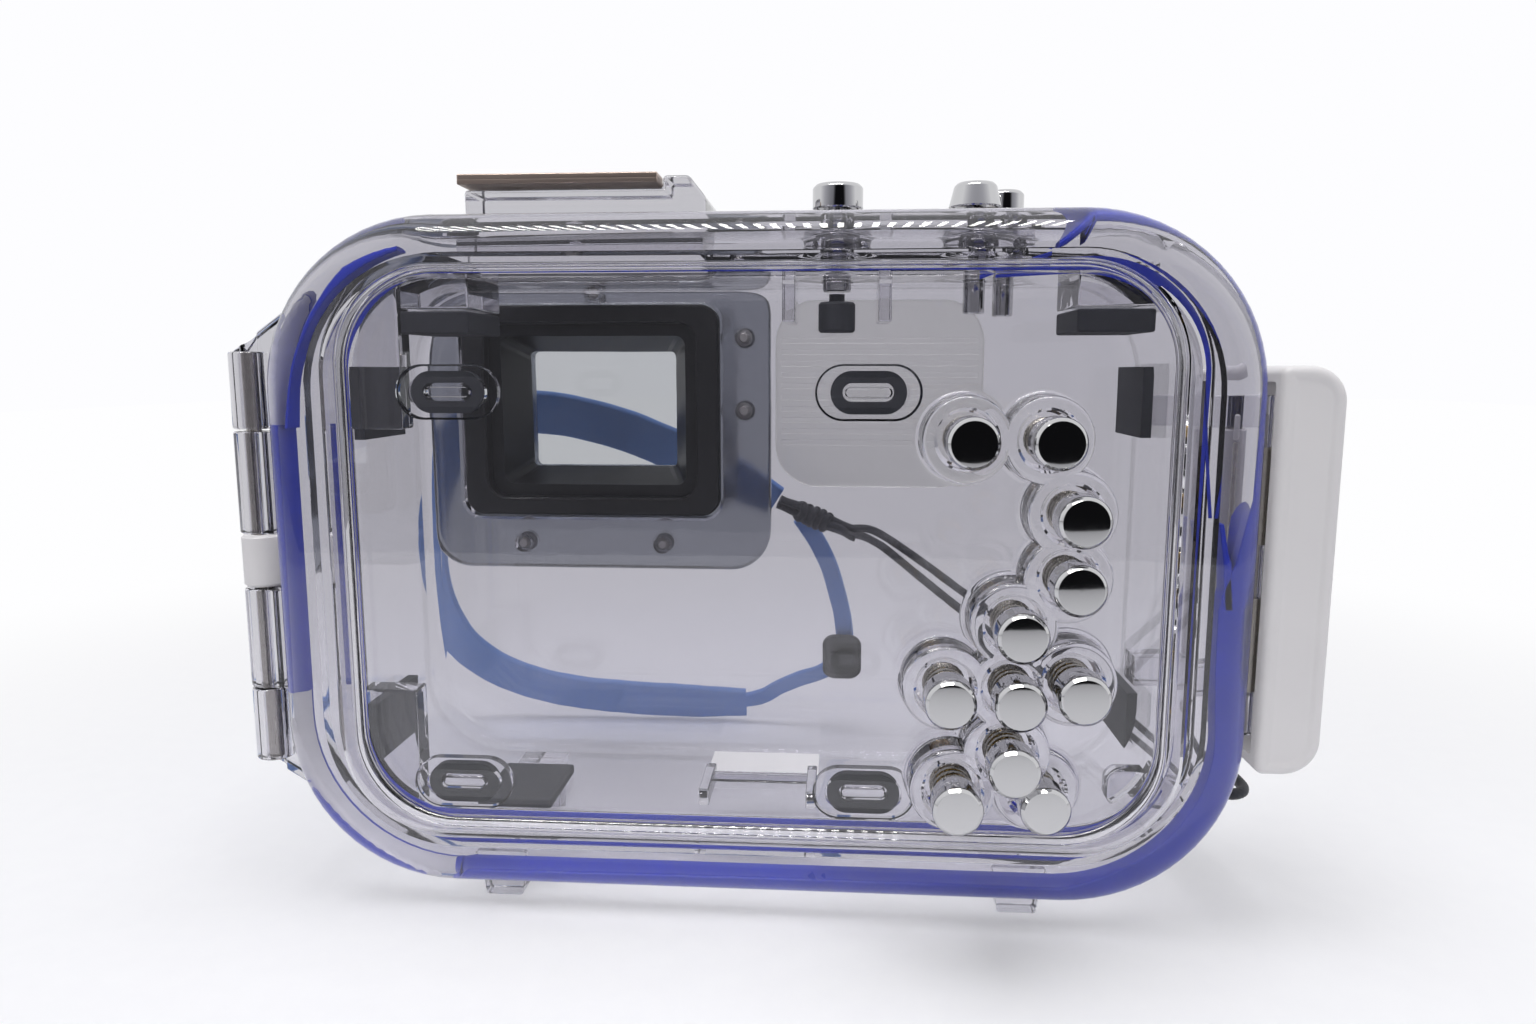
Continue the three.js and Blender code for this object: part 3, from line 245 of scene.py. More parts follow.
def moulded(name, colour, darker, roughness, grain, depth, patch=6.0):
    material, tree = new_material(name)
    place = add_node(tree, "ShaderNodeTexCoord").outputs["Object"]
    texture = add_node(
        tree, "ShaderNodeTexNoise", {"Scale": per_mm(grain), "Detail": 2.0}, {"Vector": place}
    )
    patches = add_node(
        tree, "ShaderNodeTexNoise", {"Scale": per_mm(patch), "Detail": 3.0}, {"Vector": place}
    )
    tone = add_node(
        tree,
        "ShaderNodeMix",
        {"data_type": "RGBA", MIX_FIRST: linear(darker), MIX_SECOND: linear(colour)},
        {0: patches.outputs[0]},
    )
    gloss = add_node(
        tree,
        "ShaderNodeMapRange",
        {"To Min": roughness - GLOSS_SPREAD, "To Max": roughness + GLOSS_SPREAD},
        {"Value": patches.outputs[0]},
    )
    bump = add_node(
        tree,
        "ShaderNodeBump",
        {"Strength": 1.0, "Distance": depth * MM},
        {"Height": texture.outputs[0]},
    )
    surface = add_node(
        tree,
        "ShaderNodeBsdfPrincipled",
        {"IOR": MOULDED_IOR},
        {
            "Base Color": tone.outputs[MIX_COLOUR],
            "Roughness": gloss.outputs[0],
            "Normal": bump.outputs[0],
        },
    )
    add_node(tree, "ShaderNodeOutputMaterial", links={"Surface": surface.outputs[0]})
    return material


WHITE_ABS = moulded("white_abs", "#DEDCDD", "#D5D3D5", 0.38, 0.3, 0.006, patch=14.0)
BLACK_ABS = moulded("black_abs", "#131418", "#0B0C0F", 0.4, 0.3, 0.01)
BLACK_RUBBER = moulded("closed_cell_rubber", "#34363D", "#26282D", 0.75, 0.5, 0.03)
SEAL_SILICONE = moulded("blue_silicone_seal", "#2038C2", "#1A2FAC", 0.3, 1.2, 0.01)
# Painted light: the carrier's pale colour stands in for the bright band the domed rim shows
SEAL_CARRIER = moulded("pale_carrier_painted_light", "#F0EFF4", "#D3D3DB", 0.25, 1.2, 0.02, patch=9.0)
STRAP_SILICONE = moulded("blue_strap_silicone", "#6289CC", "#547DC0", 0.5, 0.25, 0.02)
LABEL_FILM = moulded("label_film", "#FBFBFA", "#F3F3F1", 0.5, 0.4, 0.004)
print("opaque materials ready")

# %% [markdown]
# ## Mesh helpers
# Most pieces are outlines with round corners, carried through space. A ring is such an outline
# at one depth, and a loft is a skin over a row of rings. All rings have the same number of
# points, so the skin is made of clean four-sided faces, and every edge can be rounded as a mould
# maker would round it.

# %% Rings and lofts
CORNER_STEPS = 16


def ring(b, corner, inset, y):
    left, right, low, high = b[0] + inset, b[1] - inset, b[2] + inset, b[3] - inset
    corners = corner if isinstance(corner, tuple) else (corner,) * 4
    radii = [max(c - inset, 0.05) for c in corners]
    middles = [
        (right - radii[0], low + radii[0], -90),
        (right - radii[1], high - radii[1], 0),
        (left + radii[2], high - radii[2], 90),
        (left + radii[3], low + radii[3], 180),
    ]
    points = []
    for (x, z, start), radius in zip(middles, radii):
        for i in range(CORNER_STEPS + 1):
            a = math.radians(start + 90 * i / CORNER_STEPS)
            points.append((x + radius * math.cos(a), y, z + radius * math.sin(a)))
    return points


# A rounded edge as insets and depths: its angle is 0 at the side, 90 behind and -90 in front
def edge(inset, y, radius, start, end, steps=5):
    angles = [math.radians(start + (end - start) * i / steps) for i in range(steps + 1)]
    return [(inset - radius * math.cos(a), y - radius * math.sin(a)) for a in angles]


def rings_of(b, corner, profile):
    return [ring(b, corner, inset, y) for inset, y in profile]


def skin(rows, closed=False):
    mesh = bmesh.new()
    verts = [[mesh.verts.new(p) for p in row] for row in rows]
    count = len(rows[0])
    pairs = list(zip(verts, verts[1:])) + ([(verts[-1], verts[0])] if closed else [])
    for a, b in pairs:
        for i in range(count):
            j = (i + 1) % count
            mesh.faces.new((a[i], a[j], b[j], b[i]))
    if not closed:
        mesh.faces.new(verts[0][::-1])
        mesh.faces.new(verts[-1])
    bmesh.ops.recalc_face_normals(mesh, faces=mesh.faces)
    return mesh


def loft(b, corner, profile, closed=False):
    return skin(rings_of(b, corner, profile), closed)

# %% [markdown]
# Caps, sleeves, pins and bosses are round. Here a profile of radius and place is turned about an
# axis, as on a lathe, which keeps every chamfer and fillet exact where a cylinder with a bevel
# modifier would only come near it.

# %% Turned bodies


# A point at an angle round an axis that runs back (Y) or up (Z)
def about(centre, axis, radius, a, along):
    u, v = centre[0] + radius * math.cos(a), centre[1] + radius * math.sin(a)
    return (u, along, v) if axis == "Y" else (u, v, along)


# A body turned about an axis: its profile gives radius and place along that axis
def turned(profile, centre, axis="Y", steps=64, closed=False):
    angles = [2 * math.pi * i / steps for i in range(steps)]
    rows = [[about(centre, axis, radius, a, along) for a in angles] for radius, along in profile]
    return skin(rows, closed)


# The rounded end of a turned body, and the hollow round at the foot of one
ARC_STEPS = 4
ARC = [math.pi / 2 * i / ARC_STEPS for i in range(ARC_STEPS + 1)]


def turned_edge(radius, end, size, outward):
    return [
        (radius - size + size * math.sin(a), end + outward * size * (1 - math.cos(a))) for a in ARC
    ]


def fillet(radius, flat, size, outward):
    return [
        (radius + size - size * math.sin(a), flat + outward * size * (1 - math.cos(a))) for a in ARC
    ]


# A rod that stands upright: with round ends, or with a small chamfer at both ends
def round_rod(centre, radius, low, high, rounding=0.3):
    ends = turned_edge(radius, low, rounding, 1), turned_edge(radius, high, rounding, -1)[::-1]
    return turned([(0, low), *ends[0], *ends[1], (0, high)], centre, "Z")


def chamfered_rod(centre, radius, chamfer, low, high, steps):
    side = [(radius, low + chamfer), (radius, high - chamfer)]
    ends = [(0, low), (radius - chamfer, low)], [(radius - chamfer, high), (0, high)]
    return turned([*ends[0], *side, *ends[1]], centre, "Z", steps)


def drill(radius, centre, low, high, axis="Z", steps=32):
    return turned([(0, low), (radius, low), (radius, high), (0, high)], centre, axis, steps)

# %% [markdown]
# Square blocks, ribs and plates are boxes or polygons with all their sharp edges rounded by a
# few tenths of a millimetre. A bevel at once, in the mesh, leaves nothing for a modifier to do
# after the solids are joined.

# %% Slabs and plates
SHARP_ANGLE = math.radians(25)


def slab(left, right, rear, front, low, high, rounding=0.3):
    mesh = bmesh.new()
    bmesh.ops.create_cube(mesh, size=1)
    middle = Vector(((left + right) / 2, (rear + front) / 2, (low + high) / 2))
    size = (right - left, front - rear, high - low)
    bmesh.ops.transform(mesh, matrix=Matrix.Diagonal((*size, 1)), verts=mesh.verts)
    bmesh.ops.translate(mesh, vec=middle, verts=mesh.verts)
    soften(mesh, rounding)
    return mesh


def soften(mesh, rounding):
    if rounding:
        sharp = [e for e in mesh.edges if e.calc_face_angle(0) > SHARP_ANGLE]
        bmesh.ops.bevel(
            mesh, geom=sharp, offset=rounding, segments=3, profile=0.5, affect="EDGES"
        )


# A straight-sided body from a polygon of (x, z) points between two depths
def plate(points, rear, front, rounding=0.3):
    rows = [[(x, y, z) for x, z in points] for y in (rear, front)]
    mesh = skin(rows)
    soften(mesh, rounding)
    return mesh

# %% [markdown]
# Moulded parts are joined and cut as solids, so that light refracts once at each real surface
# and never at a hidden one. The exact result is kept as the piece's own mesh.

# %% Joining, cutting and finishing pieces


def as_object(name, mesh):
    data = bpy.data.meshes.new(name)
    mesh.to_mesh(data)
    mesh.free()
    piece = bpy.data.objects.new(name, data)
    bpy.context.scene.collection.objects.link(piece)
    return piece


def gathered(meshes):
    whole = bmesh.new()
    for mesh in meshes:
        data = bpy.data.meshes.new("part")
        mesh.to_mesh(data)
        mesh.free()
        whole.from_mesh(data)
        bpy.data.meshes.remove(data)
    return whole


def combined(name, base, add=(), cut=()):
    piece = as_object(name, base)
    tools = []
    for operation, meshes in (("UNION", add), ("DIFFERENCE", cut)):
        for mesh in meshes:
            tool = as_object("tool", mesh)
            tools.append(tool)
            modifier = piece.modifiers.new("solid", "BOOLEAN")
            modifier.operation = operation
            modifier.solver = "MANIFOLD"
            modifier.object = tool
    graph = bpy.context.evaluated_depsgraph_get()
    result = bmesh.new()
    result.from_mesh(piece.evaluated_get(graph).to_mesh())
    for thing in (piece, *tools):
        data = thing.data
        bpy.data.objects.remove(thing)
        bpy.data.meshes.remove(data)
    print(name, "faces:", len(result.faces))
    return result


def finished(name, mesh, material, body, node=None, crease=38):
    bmesh.ops.transform(
        mesh,
        matrix=Matrix.Scale(MM, 4) @ Matrix.Translation(Vector(DRAWING_SHIFT)),
        verts=mesh.verts,
    )
    for face in mesh.faces:
        face.smooth = True
    piece = as_object(name, mesh)
    piece.data.set_sharp_from_angle(angle=math.radians(crease))
    piece.data.materials.append(material)
    weights = piece.modifiers.new("even_normals", "WEIGHTED_NORMAL")
    weights.keep_sharp = True
    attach(piece, body)
    if node:
        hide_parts(node)
    return piece

# %% [markdown]
# ## Sizes shared by several pieces
# Boxes are left, right, low and high in drawing millimetres, seen from behind. An upright axis is
# given by its place across and its depth.

# %% Shared boxes and axes
OUTLINE, OUTLINE_CORNER = (-64, 64, 5.8, 96), 23
WINDOW, WINDOW_CORNER = (-52, 52, 16.2, 88.4), 12
CAVITY, CAVITY_CORNER = (-55.8, 55.8, 13.4, 88.4), 13
CASE, CASE_CORNER = (-58.8, 58.8, 10.4, 91.4), 16
PANE_REAR, PANE_FRONT, COVER_FRONT = -7.5, -4.5, -0.3
CASE_TOP, TOWER_ROOT = 91.4, 89.9
HINGE, HINGE_Z = (-69.7, 0), 49.8
LEVER_AXIS, HOOK_AXIS, LATCH_Z = (68.0, 20.6), (66.0, 9.0), 50.6
ROD_RADIUS, PIN_BORE, HOOK_BORE = 2.6, 1.3, 1.1


def around(middle, width, height):
    x, z = middle
    return (x - width / 2, x + width / 2, z - height / 2, z + height / 2)


# The two ends of a piece that is mirrored about a middle height
def span(side, near, far, middle):
    ends = (middle + side * near, middle + side * far)
    return min(ends), max(ends)


print("outline", OUTLINE[1] - OUTLINE[0], "mm wide, window", WINDOW[1] - WINDOW[0], "mm")

# %% [markdown]
# ## Wrist strap
# A soft silicone strap is tied to the eyelet with two thin braided cords and leans on the port.
# Its middle line goes through points that lie on one leaning plane, and a flat ribbon with round
# edges is carried along it. The line is the same centripetal spline as in the solids.

# %% The strap's routes
BAND_ROUTE = [
    (-0.6, 50.2), (-7.7, 54.3), (-15.3, 58.4), (-22, 61.7), (-28.3, 64.5), (-34.8, 66.6),
    (-41.3, 68), (-48, 68.3), (-55, 66.4), (-63.1, 60.4), (-69.2, 49.3), (-72.6, 35.1),
    (-72.4, 25.1), (-69, 15), (-63, 8.6), (-55, 4.4), (-45.3, 1.9), (-32, 0.6),
    (-18.7, 0.1), (-8.2, 0.1),
]
LINK_ROUTE = [
    (4.2, 46.2), (7, 41.5), (9.4, 36), (11.2, 29.2), (12.6, 22), (12.9, 16.5),
    (11.6, 11.8), (8.2, 8.8), (3.5, 6.8), (-1.2, 4.2), (-4.2, 2), (-7.4, 0.9), (-9.6, 0.5),
]
CORD_ROUTES = [
    [
        (63.7, 5.9, 17.9), (63.7, 9, 17.9), (63.4, 14, 17.7), (62.2, 21, 17.4),
        (59.6, 29, 17.8), (55, 37.4, 19.4), (48.6, 44.6, 22.6), (41, 50.6, 27.2),
        (33, 55.4, 32.6), (25.6, 59.2, 38), (20.4, 61.2, 41.9), (18.4, 61.5, 43.1),
        (16.4, 60.8, 44.2), (14.2, 59.6, 44.9),
    ],
    [
        (63.7, 5.6, 17.9), (63.8, 4.4, 17.9), (64.6, 3.1, 17.9), (66.1, 2.5, 17.9),
        (67.6, 3.1, 17.9), (68.6, 4.8, 17.9), (68.8, 8, 17.9), (68.3, 14, 17.9),
        (66.6, 22, 17.9), (63.4, 30.6, 18.6), (58.4, 39, 20.6), (51.4, 46.4, 24.2),
        (43.2, 52.4, 29.2), (34.6, 56.8, 34.8), (26.6, 60, 40.2), (21.2, 61.8, 43.6),
        (18.9, 62.1, 44.9), (16.9, 61.2, 45.7), (14.6, 59.6, 46.0),
    ],
]
STRAP_PLANE = (77.5, 4.6, math.radians(69))
BAND_WIDTH, BAND_DEPTH = 8.6, 1.6
LINK_WIDTH, LINK_DEPTH = 3.6, 1.2
CORD_RADIUS = 0.8
KNOT_PLACE, KNOT_TURN = (9.4, 46.6), -0.44
SLIDER_PLACE = (12.4, 14.2)


def on_plane(u, v, w=0.0):
    forward, rise, lean = STRAP_PLANE
    turn = math.pi - lean
    y = forward + v * math.cos(turn) - w * math.sin(turn)
    return Vector((u, y, rise + v * math.sin(turn) + w * math.cos(turn)))

# %% [markdown]
# Blender's own curves could carry a strap, but their splines are not the ones in the solids. So
# the centripetal spline is written out here: it never loops or bulges between close points.

# %% The spline through the points


# A centripetal Catmull-Rom spline through the points, sampled this often between two of them
SPLINE_STEPS = 8


def smooth_route(points):
    points = [Vector(p) for p in points]
    padded = [2 * points[0] - points[1], *points, 2 * points[-1] - points[-2]]
    route = []
    for p0, p1, p2, p3 in zip(padded, padded[1:], padded[2:], padded[3:]):
        d0, d1, d2 = [(b - a).length ** 0.5 for a, b in ((p0, p1), (p1, p2), (p2, p3))]
        m1 = (p1 - p0) / d0 - (p2 - p0) / (d0 + d1) + (p2 - p1) / d1
        m2 = (p2 - p1) / d1 - (p3 - p1) / (d1 + d2) + (p3 - p2) / d2
        m1, m2 = m1 * d1, m2 * d1
        a = 2 * (p1 - p2) + m1 + m2
        b = -3 * (p1 - p2) - 2 * m1 - m2
        for i in range(SPLINE_STEPS):
            t = i / SPLINE_STEPS
            route.append(a * t**3 + b * t**2 + m1 * t + p1)
    route.append(points[-1])
    return route


def length_of(route):
    return sum((b - a).length for a, b in zip(route, route[1:]))


BAND_LINE = [on_plane(*p[:2]) for p in smooth_route([(u, v, 0) for u, v in BAND_ROUTE])]
LINK_LINE = [on_plane(*p[:2]) for p in smooth_route([(u, v, 0) for u, v in LINK_ROUTE])]
CORD_LINES = [smooth_route(route) for route in CORD_ROUTES]
for label, line in (("band", BAND_LINE), ("link", LINK_LINE)):
    print(label, round(length_of(line), 1), "mm")

# %% [markdown]
# The band is not a plain strip: it is moulded with thick round edges and a shallow channel
# along its middle, and its ends run down to a thinner tail. The cross section holds that, and a
# width for each place along the line makes the taper.

# %% Band and link
PLANE_NORMAL = (on_plane(0, 0, 1) - on_plane(0, 0, 0)).normalized()
EDGE_SHARE = 0.8
CHANNEL_SHARE = 0.3
TAIL_SHARE = 0.06


def ribbon_section(width, depth):
    half, thick = width / 2, depth / 2
    bead = thick * EDGE_SHARE
    angles = [math.radians(-90 + 180 * i / 8) for i in range(9)]
    points = [(half - bead + bead * math.cos(a), thick * math.sin(a)) for a in angles]
    across = (0.6, 0.3, 0, -0.3, -0.6)
    top = [(half * s, thick * (1 - CHANNEL_SHARE * (1 - s * s))) for s in across]
    other = [(-w, d) for w, d in points[::-1]]
    low = [(-w, -d) for w, d in top]
    return points + top + other + low


def ribbon(line, width, depth, tail=(1.0, 1.0)):
    rows = []
    total = len(line) - 1
    section = ribbon_section(width, depth)
    for i, point in enumerate(line):
        ahead, behind = line[min(i + 1, total)], line[max(i - 1, 0)]
        along = (ahead - behind).normalized()
        across = along.cross(PLANE_NORMAL).normalized()
        near_start = min(i / (TAIL_SHARE * total), 1)
        near_end = min((total - i) / (TAIL_SHARE * total), 1)
        size = (tail[0] + (1 - tail[0]) * near_start) * (tail[1] + (1 - tail[1]) * near_end)
        rows.append([point + across * w * size + PLANE_NORMAL * d for w, d in section])
    return skin(rows)


band = finished(
    "blue_strap_band", ribbon(BAND_LINE, BAND_WIDTH, BAND_DEPTH, (0.7, 0.8)),
    STRAP_SILICONE, "case", "strap_band",
)
link = finished(
    "blue_strap_link", ribbon(LINK_LINE, LINK_WIDTH, LINK_DEPTH),
    STRAP_SILICONE, "case", "strap_link",
)
print("ribbons done")

# %% [markdown]
# Cords, the knot's strands and the coil springs are all tubes along a line. A curve with a bevel
# would make a plain tube. A mesh tube that asks a function for its radius can be braided too, and
# its frame is carried along the line without a twist.

# %% Tubes along a line


def resampled(line, step):
    total = length_of(line)
    count = max(int(total / step), 8)
    marks = [total * i / count for i in range(count + 1)]
    result, gone, k = [], 0.0, 0
    for mark in marks:
        while k < len(line) - 2 and gone + (line[k + 1] - line[k]).length < mark:
            gone += (line[k + 1] - line[k]).length
            k += 1
        piece = (line[k + 1] - line[k]).length or 1
        result.append(line[k].lerp(line[k + 1], min((mark - gone) / piece, 1)))
    return result


# A tube along a line: radius_at(angle, way along) gives its surface, closed round at both ends
def swept(line, radius_at, sides):
    rows = []
    across = None
    gone = 0.0
    for i, point in enumerate(line):
        ahead, behind = line[min(i + 1, len(line) - 1)], line[max(i - 1, 0)]
        along = (ahead - behind).normalized()
        if across is None:
            across = along.orthogonal().normalized()
        across = (across - along * across.dot(along)).normalized()
        other = along.cross(across)
        if i:
            gone += (point - line[i - 1]).length
        row = []
        for k in range(sides):
            a = 2 * math.pi * k / sides
            radius = radius_at(a, gone)
            row.append(point + (across * math.cos(a) + other * math.sin(a)) * radius)
        rows.append(row)
    return skin(rows)

# %% [markdown]
# The two cords are braided from black polyester, 1.6 mm thick. A braid is drawn by letting the
# radius swell where one strand family or the other lies on top, in diamonds about a millimetre
# long, so that the weave catches light from any side.

# %% Braided cords
BRAID_LENGTH = 1.4
BRAID_SIDES = 16
BRAID_STEP = 0.22
BRAID_SWELL = 0.16
FIBRE_SIZE, FIBRE_DEPTH = 0.25, 0.05


def braid(a, along):
    turn = 2 * math.pi * along / BRAID_LENGTH
    weave = max(abs(math.sin(2 * a + turn)), abs(math.sin(2 * a - turn)))
    return CORD_RADIUS * (1 - BRAID_SWELL + BRAID_SWELL * weave)


def cord_fibre():
    material, tree = new_material("braided_polyester")
    place = add_node(tree, "ShaderNodeTexCoord").outputs["Object"]
    fibres = add_node(
        tree, "ShaderNodeTexNoise", {"Scale": per_mm(FIBRE_SIZE), "Detail": 3.0}, {"Vector": place}
    )
    tone = add_node(
        tree,
        "ShaderNodeMix",
        {"data_type": "RGBA", MIX_FIRST: linear("#101217"), MIX_SECOND: linear("#2C2F37")},
        {0: fibres.outputs[0]},
    )
    bump = add_node(
        tree,
        "ShaderNodeBump",
        {"Strength": 0.8, "Distance": FIBRE_DEPTH * MM},
        {"Height": fibres.outputs[0]},
    )
    yarn = add_node(
        tree,
        "ShaderNodeBsdfPrincipled",
        {"Roughness": 0.7, "Sheen Weight": 0.2},
        {"Base Color": tone.outputs[MIX_COLOUR], "Normal": bump.outputs[0]},
    )
    add_node(tree, "ShaderNodeOutputMaterial", links={"Surface": yarn.outputs[0]})
    return material


CORD_FIBRE = cord_fibre()
cords = []
for number, line in enumerate(CORD_LINES, 1):
    tube = swept(resampled(line, BRAID_STEP), braid, BRAID_SIDES)
    cords.append(
        finished(f"braided_cord_{number}", tube, CORD_FIBRE, "case", f"strap_cord_{number}")
    )
    print("cord", number, round(length_of(line), 1), "mm")

# %% [markdown]
# A lark's head knot ties the cords to the band's end. It is modelled as two runs of cord under
# five wraps, with a third strand over them. The buckle is a moulded black slider with a grip.

# %% Knot and buckle
WRAP_PLACES = (-5.8, -4.4, -3.1, -1.8, -0.4)
FAT_WRAPS = (-3.1, -1.8)
RUN_ENDS = (-10.4, 5.6)
KNOT_STEP = 0.25


def strap_place(place, turn, points, rise):
    u0, v0 = place
    c, s = math.cos(turn), math.sin(turn)
    return [on_plane(u0 + u * c - v * s, v0 + u * s + v * c, w + rise) for u, v, w in points]


def wrap(u):
    tall, deep = (1.62, 0.88) if u in FAT_WRAPS else (1.45, 0.82)
    lean = 0.5 if u < FAT_WRAPS[0] else -0.5
    turn = np.linspace(0, 2 * math.pi, 33)
    return [(u + lean * math.sin(a), tall * math.cos(a), deep * math.sin(a)) for a in turn]


def knot_mesh():
    rise = (BAND_DEPTH + 3) / 2 + 0.3
    under = np.linspace(*RUN_ENDS, 32)
    runs = [[(u, side * (0.75 + 0.1 * math.cos(u)), -0.3) for u in under] for side in (-1, 1)]
    runs += [wrap(u) for u in WRAP_PLACES]
    runs.append([(u, 0.35 * math.sin(u * 0.9), 0.75) for u in np.linspace(-0.4, 5.9, 18)])
    lines = [strap_place(KNOT_PLACE, KNOT_TURN, run, rise) for run in runs]
    return gathered([swept(resampled(line, KNOT_STEP), braid, BRAID_SIDES) for line in lines])


knot = finished("larks_head_knot", knot_mesh(), CORD_FIBRE, "case", "strap_knot")


def slider_row(b, corner, inset, rise):
    flat = ring(b, corner, inset, 0)
    return strap_place(SLIDER_PLACE, 0, [(x, z, rise) for x, _, z in flat], 0)


def buckle_mesh():
    body = (-4, 4, -5.5, 5.5)
    profile = [(1.2, 0.9), *edge(0.6, 1.5, 0.6, -70, 0), *edge(0.6, 2.1, 0.6, 0, 90)]
    rows = [slider_row(body, 8 / 3, inset, w) for inset, w in profile]
    raised = (-2.6, 2.6, -1.6, 1.6)
    grip = [slider_row(raised, 0.8, inset, w) for inset, w in ((0, 2.2), (0, 2.75), (0.2, 2.95))]
    return combined("buckle", skin(rows), add=[skin(grip)])


buckle = finished("strap_buckle", buckle_mesh(), BLACK_ABS, "case", "strap_slider")

# %% [markdown]
# Each free run's real length is printed. The cords leave the eyelet, the band leaves
# the knot and the link comes back from the band's tail to the knot.

# %% Lengths of the strap's free runs


for piece, line, width, stiffness, end, carried in (
    (cords[0], CORD_LINES[0], 2 * CORD_RADIUS, "limp", "knot", [knot]),
    (cords[1], CORD_LINES[1], 2 * CORD_RADIUS, "limp", "knot", [knot]),
    (band, BAND_LINE, BAND_WIDTH, "medium", "bare", []),
    (link, LINK_LINE[::-1], LINK_WIDTH, "medium", "knot", [knot, buckle]),
):
    print(piece.name, round(length_of(line), 1), "mm declared")

# %% [markdown]
# ## Rear cover
# The cover is one moulding: a flat window, set 2 mm back from a domed rim, with a groove for the
# seal on its inner face. The dome is what makes the rim glitter, so it is a true quarter round
# and not a bevel.

# %% Shell of the cover
RIM_RADIUS = 5
GROOVE_OUTER, GROOVE_INNER, GROOVE_FLOOR = 1.4, 5.0, -3.5

cover_shell = skin(
    rings_of(WINDOW, WINDOW_CORNER, [*edge(0, -8.2, 0.7, -90, 0), *edge(-1.1, -9.1, 0.4, 180, 90)])
    + rings_of(
        OUTLINE,
        OUTLINE_CORNER,
        [
            *edge(RIM_RADIUS, -4.5, RIM_RADIUS, 90, 0, 14),
            *edge(0.3, -0.6, 0.3, 0, -90, 3),
            (GROOVE_OUTER, COVER_FRONT),
            (GROOVE_OUTER, GROOVE_FLOOR),
            (GROOVE_INNER, GROOVE_FLOOR),
            (GROOVE_INNER, COVER_FRONT),
        ],
    )
    + rings_of(CAVITY, CAVITY_CORNER, [(-0.2, COVER_FRONT), (0, -0.5), (0, -6.0), (0.5, -6.5)])
)
pane = loft(WINDOW, WINDOW_CORNER, [(-2, -7.0), (-2, -4.8), (-1.7, PANE_FRONT)])
print("shell faces", len(cover_shell.faces), "pane faces", len(pane.faces))

# %% [markdown]
# Each push button runs in a boss that was turned into the mould: a tower with a round lip, a
# fillet where it meets the window, and a well inside for the spring. Places are shares of the
# window, as on the drawing. The last boss is 3 mm lower than the others.

# %% Bosses and wells
BUTTON_SHARES = [
    (0.512, 0.432), (0.7, 0.432), (0.76, 0.183), (0.756, -0.039), (0.635, -0.199),
    (0.477, -0.427), (0.635, -0.429), (0.777, -0.402), (0.627, -0.659), (0.5, -0.795),
    (0.712, -0.823),
]
CUSHION_SHARES = [(-0.767, 0.584), (0.288, 0.584), (-0.767, -0.898), (0.288, -0.898)]


def on_window(share):
    return (
        share[0] * (WINDOW[1] - WINDOW[0]) / 2,
        (WINDOW[2] + WINDOW[3]) / 2 + share[1] * (WINDOW[3] - WINDOW[2]) / 2,
    )


BUTTONS = [on_window(share) for share in BUTTON_SHARES]
DROPS = [0] * 10 + [3]
BOSS_RADIUS, WELL_RADIUS, BORE_RADIUS = 5.4, 3.6, 1.8
BOSS_HEIGHT, BOSS_FILLET, BOSS_ROOT = 5, 0.8, -6.2
WELL_DEPTH, LOW_WELL_DEPTH = 3.4, 1.9


def boss_top(drop):
    return PANE_REAR - BOSS_HEIGHT + drop


def well_floor(drop):
    return boss_top(drop) + (LOW_WELL_DEPTH if drop else WELL_DEPTH)


def boss(centre, drop):
    top = boss_top(drop)
    foot = fillet(BOSS_RADIUS, PANE_REAR, BOSS_FILLET, -1)
    lip = turned_edge(BOSS_RADIUS, top, 0.6, 1)[::-1]
    root = [(0, BOSS_ROOT), (BOSS_RADIUS + BOSS_FILLET, BOSS_ROOT)]
    return turned([*root, *foot, *lip, (0, top)], centre)


def well(centre, drop):
    top, floor = boss_top(drop), well_floor(drop)
    mouth = [(WELL_RADIUS + 0.35, top - 1), (WELL_RADIUS + 0.35, top), (WELL_RADIUS, top + 0.35)]
    profile = [(0, top - 1), *mouth, (WELL_RADIUS, floor - 0.3), (WELL_RADIUS - 0.3, floor)]
    return turned([*profile, (BORE_RADIUS, floor), (BORE_RADIUS, -3), (0, -3)], centre)

# %% [markdown]
# Four rubber cushions sit in clear rings behind the window. Each ring is a pill-shaped wall with
# a bar in its middle, and it is lofted like the shells, because it has round ends only.

# %% Rings for the cushions


# A pill is a box as round as it is high, and a pill ring has a pill-shaped hole
def pill_ring(centre, outer, inner, rear, front):
    step = (outer[0] - inner[0]) / 2
    profile = [(0, rear), (0, front - 0.25), (0.25, front), (step, front), (step, rear)]
    return loft(around(centre, *outer), outer[1] / 2 - 0.01, profile, closed=True)


def pill(centre, size, rear, front):
    profile = [(0, rear), (0, front - 0.15), (0.15, front)]
    return loft(around(centre, *size), size[1] / 2 - 0.01, profile)


print("bosses", len(BUTTONS), "cushion rings", len(CUSHION_SHARES))

# %% [markdown]
# Two knuckles carry the cover on its hinge pin, and a rail on the other side takes the latch
# hook.

# %% Knuckles, rail and the finished cover
OVERLAP = 0.02


def knuckle(side):
    low, high = span(side, 3.9, 18.1, HINGE_Z)
    arm = slab(-69.7, -63.3, -2.6, -0.3, low + OVERLAP, high - OVERLAP, 0.25)
    return [round_rod(HINGE, ROD_RADIUS, low, high), arm]


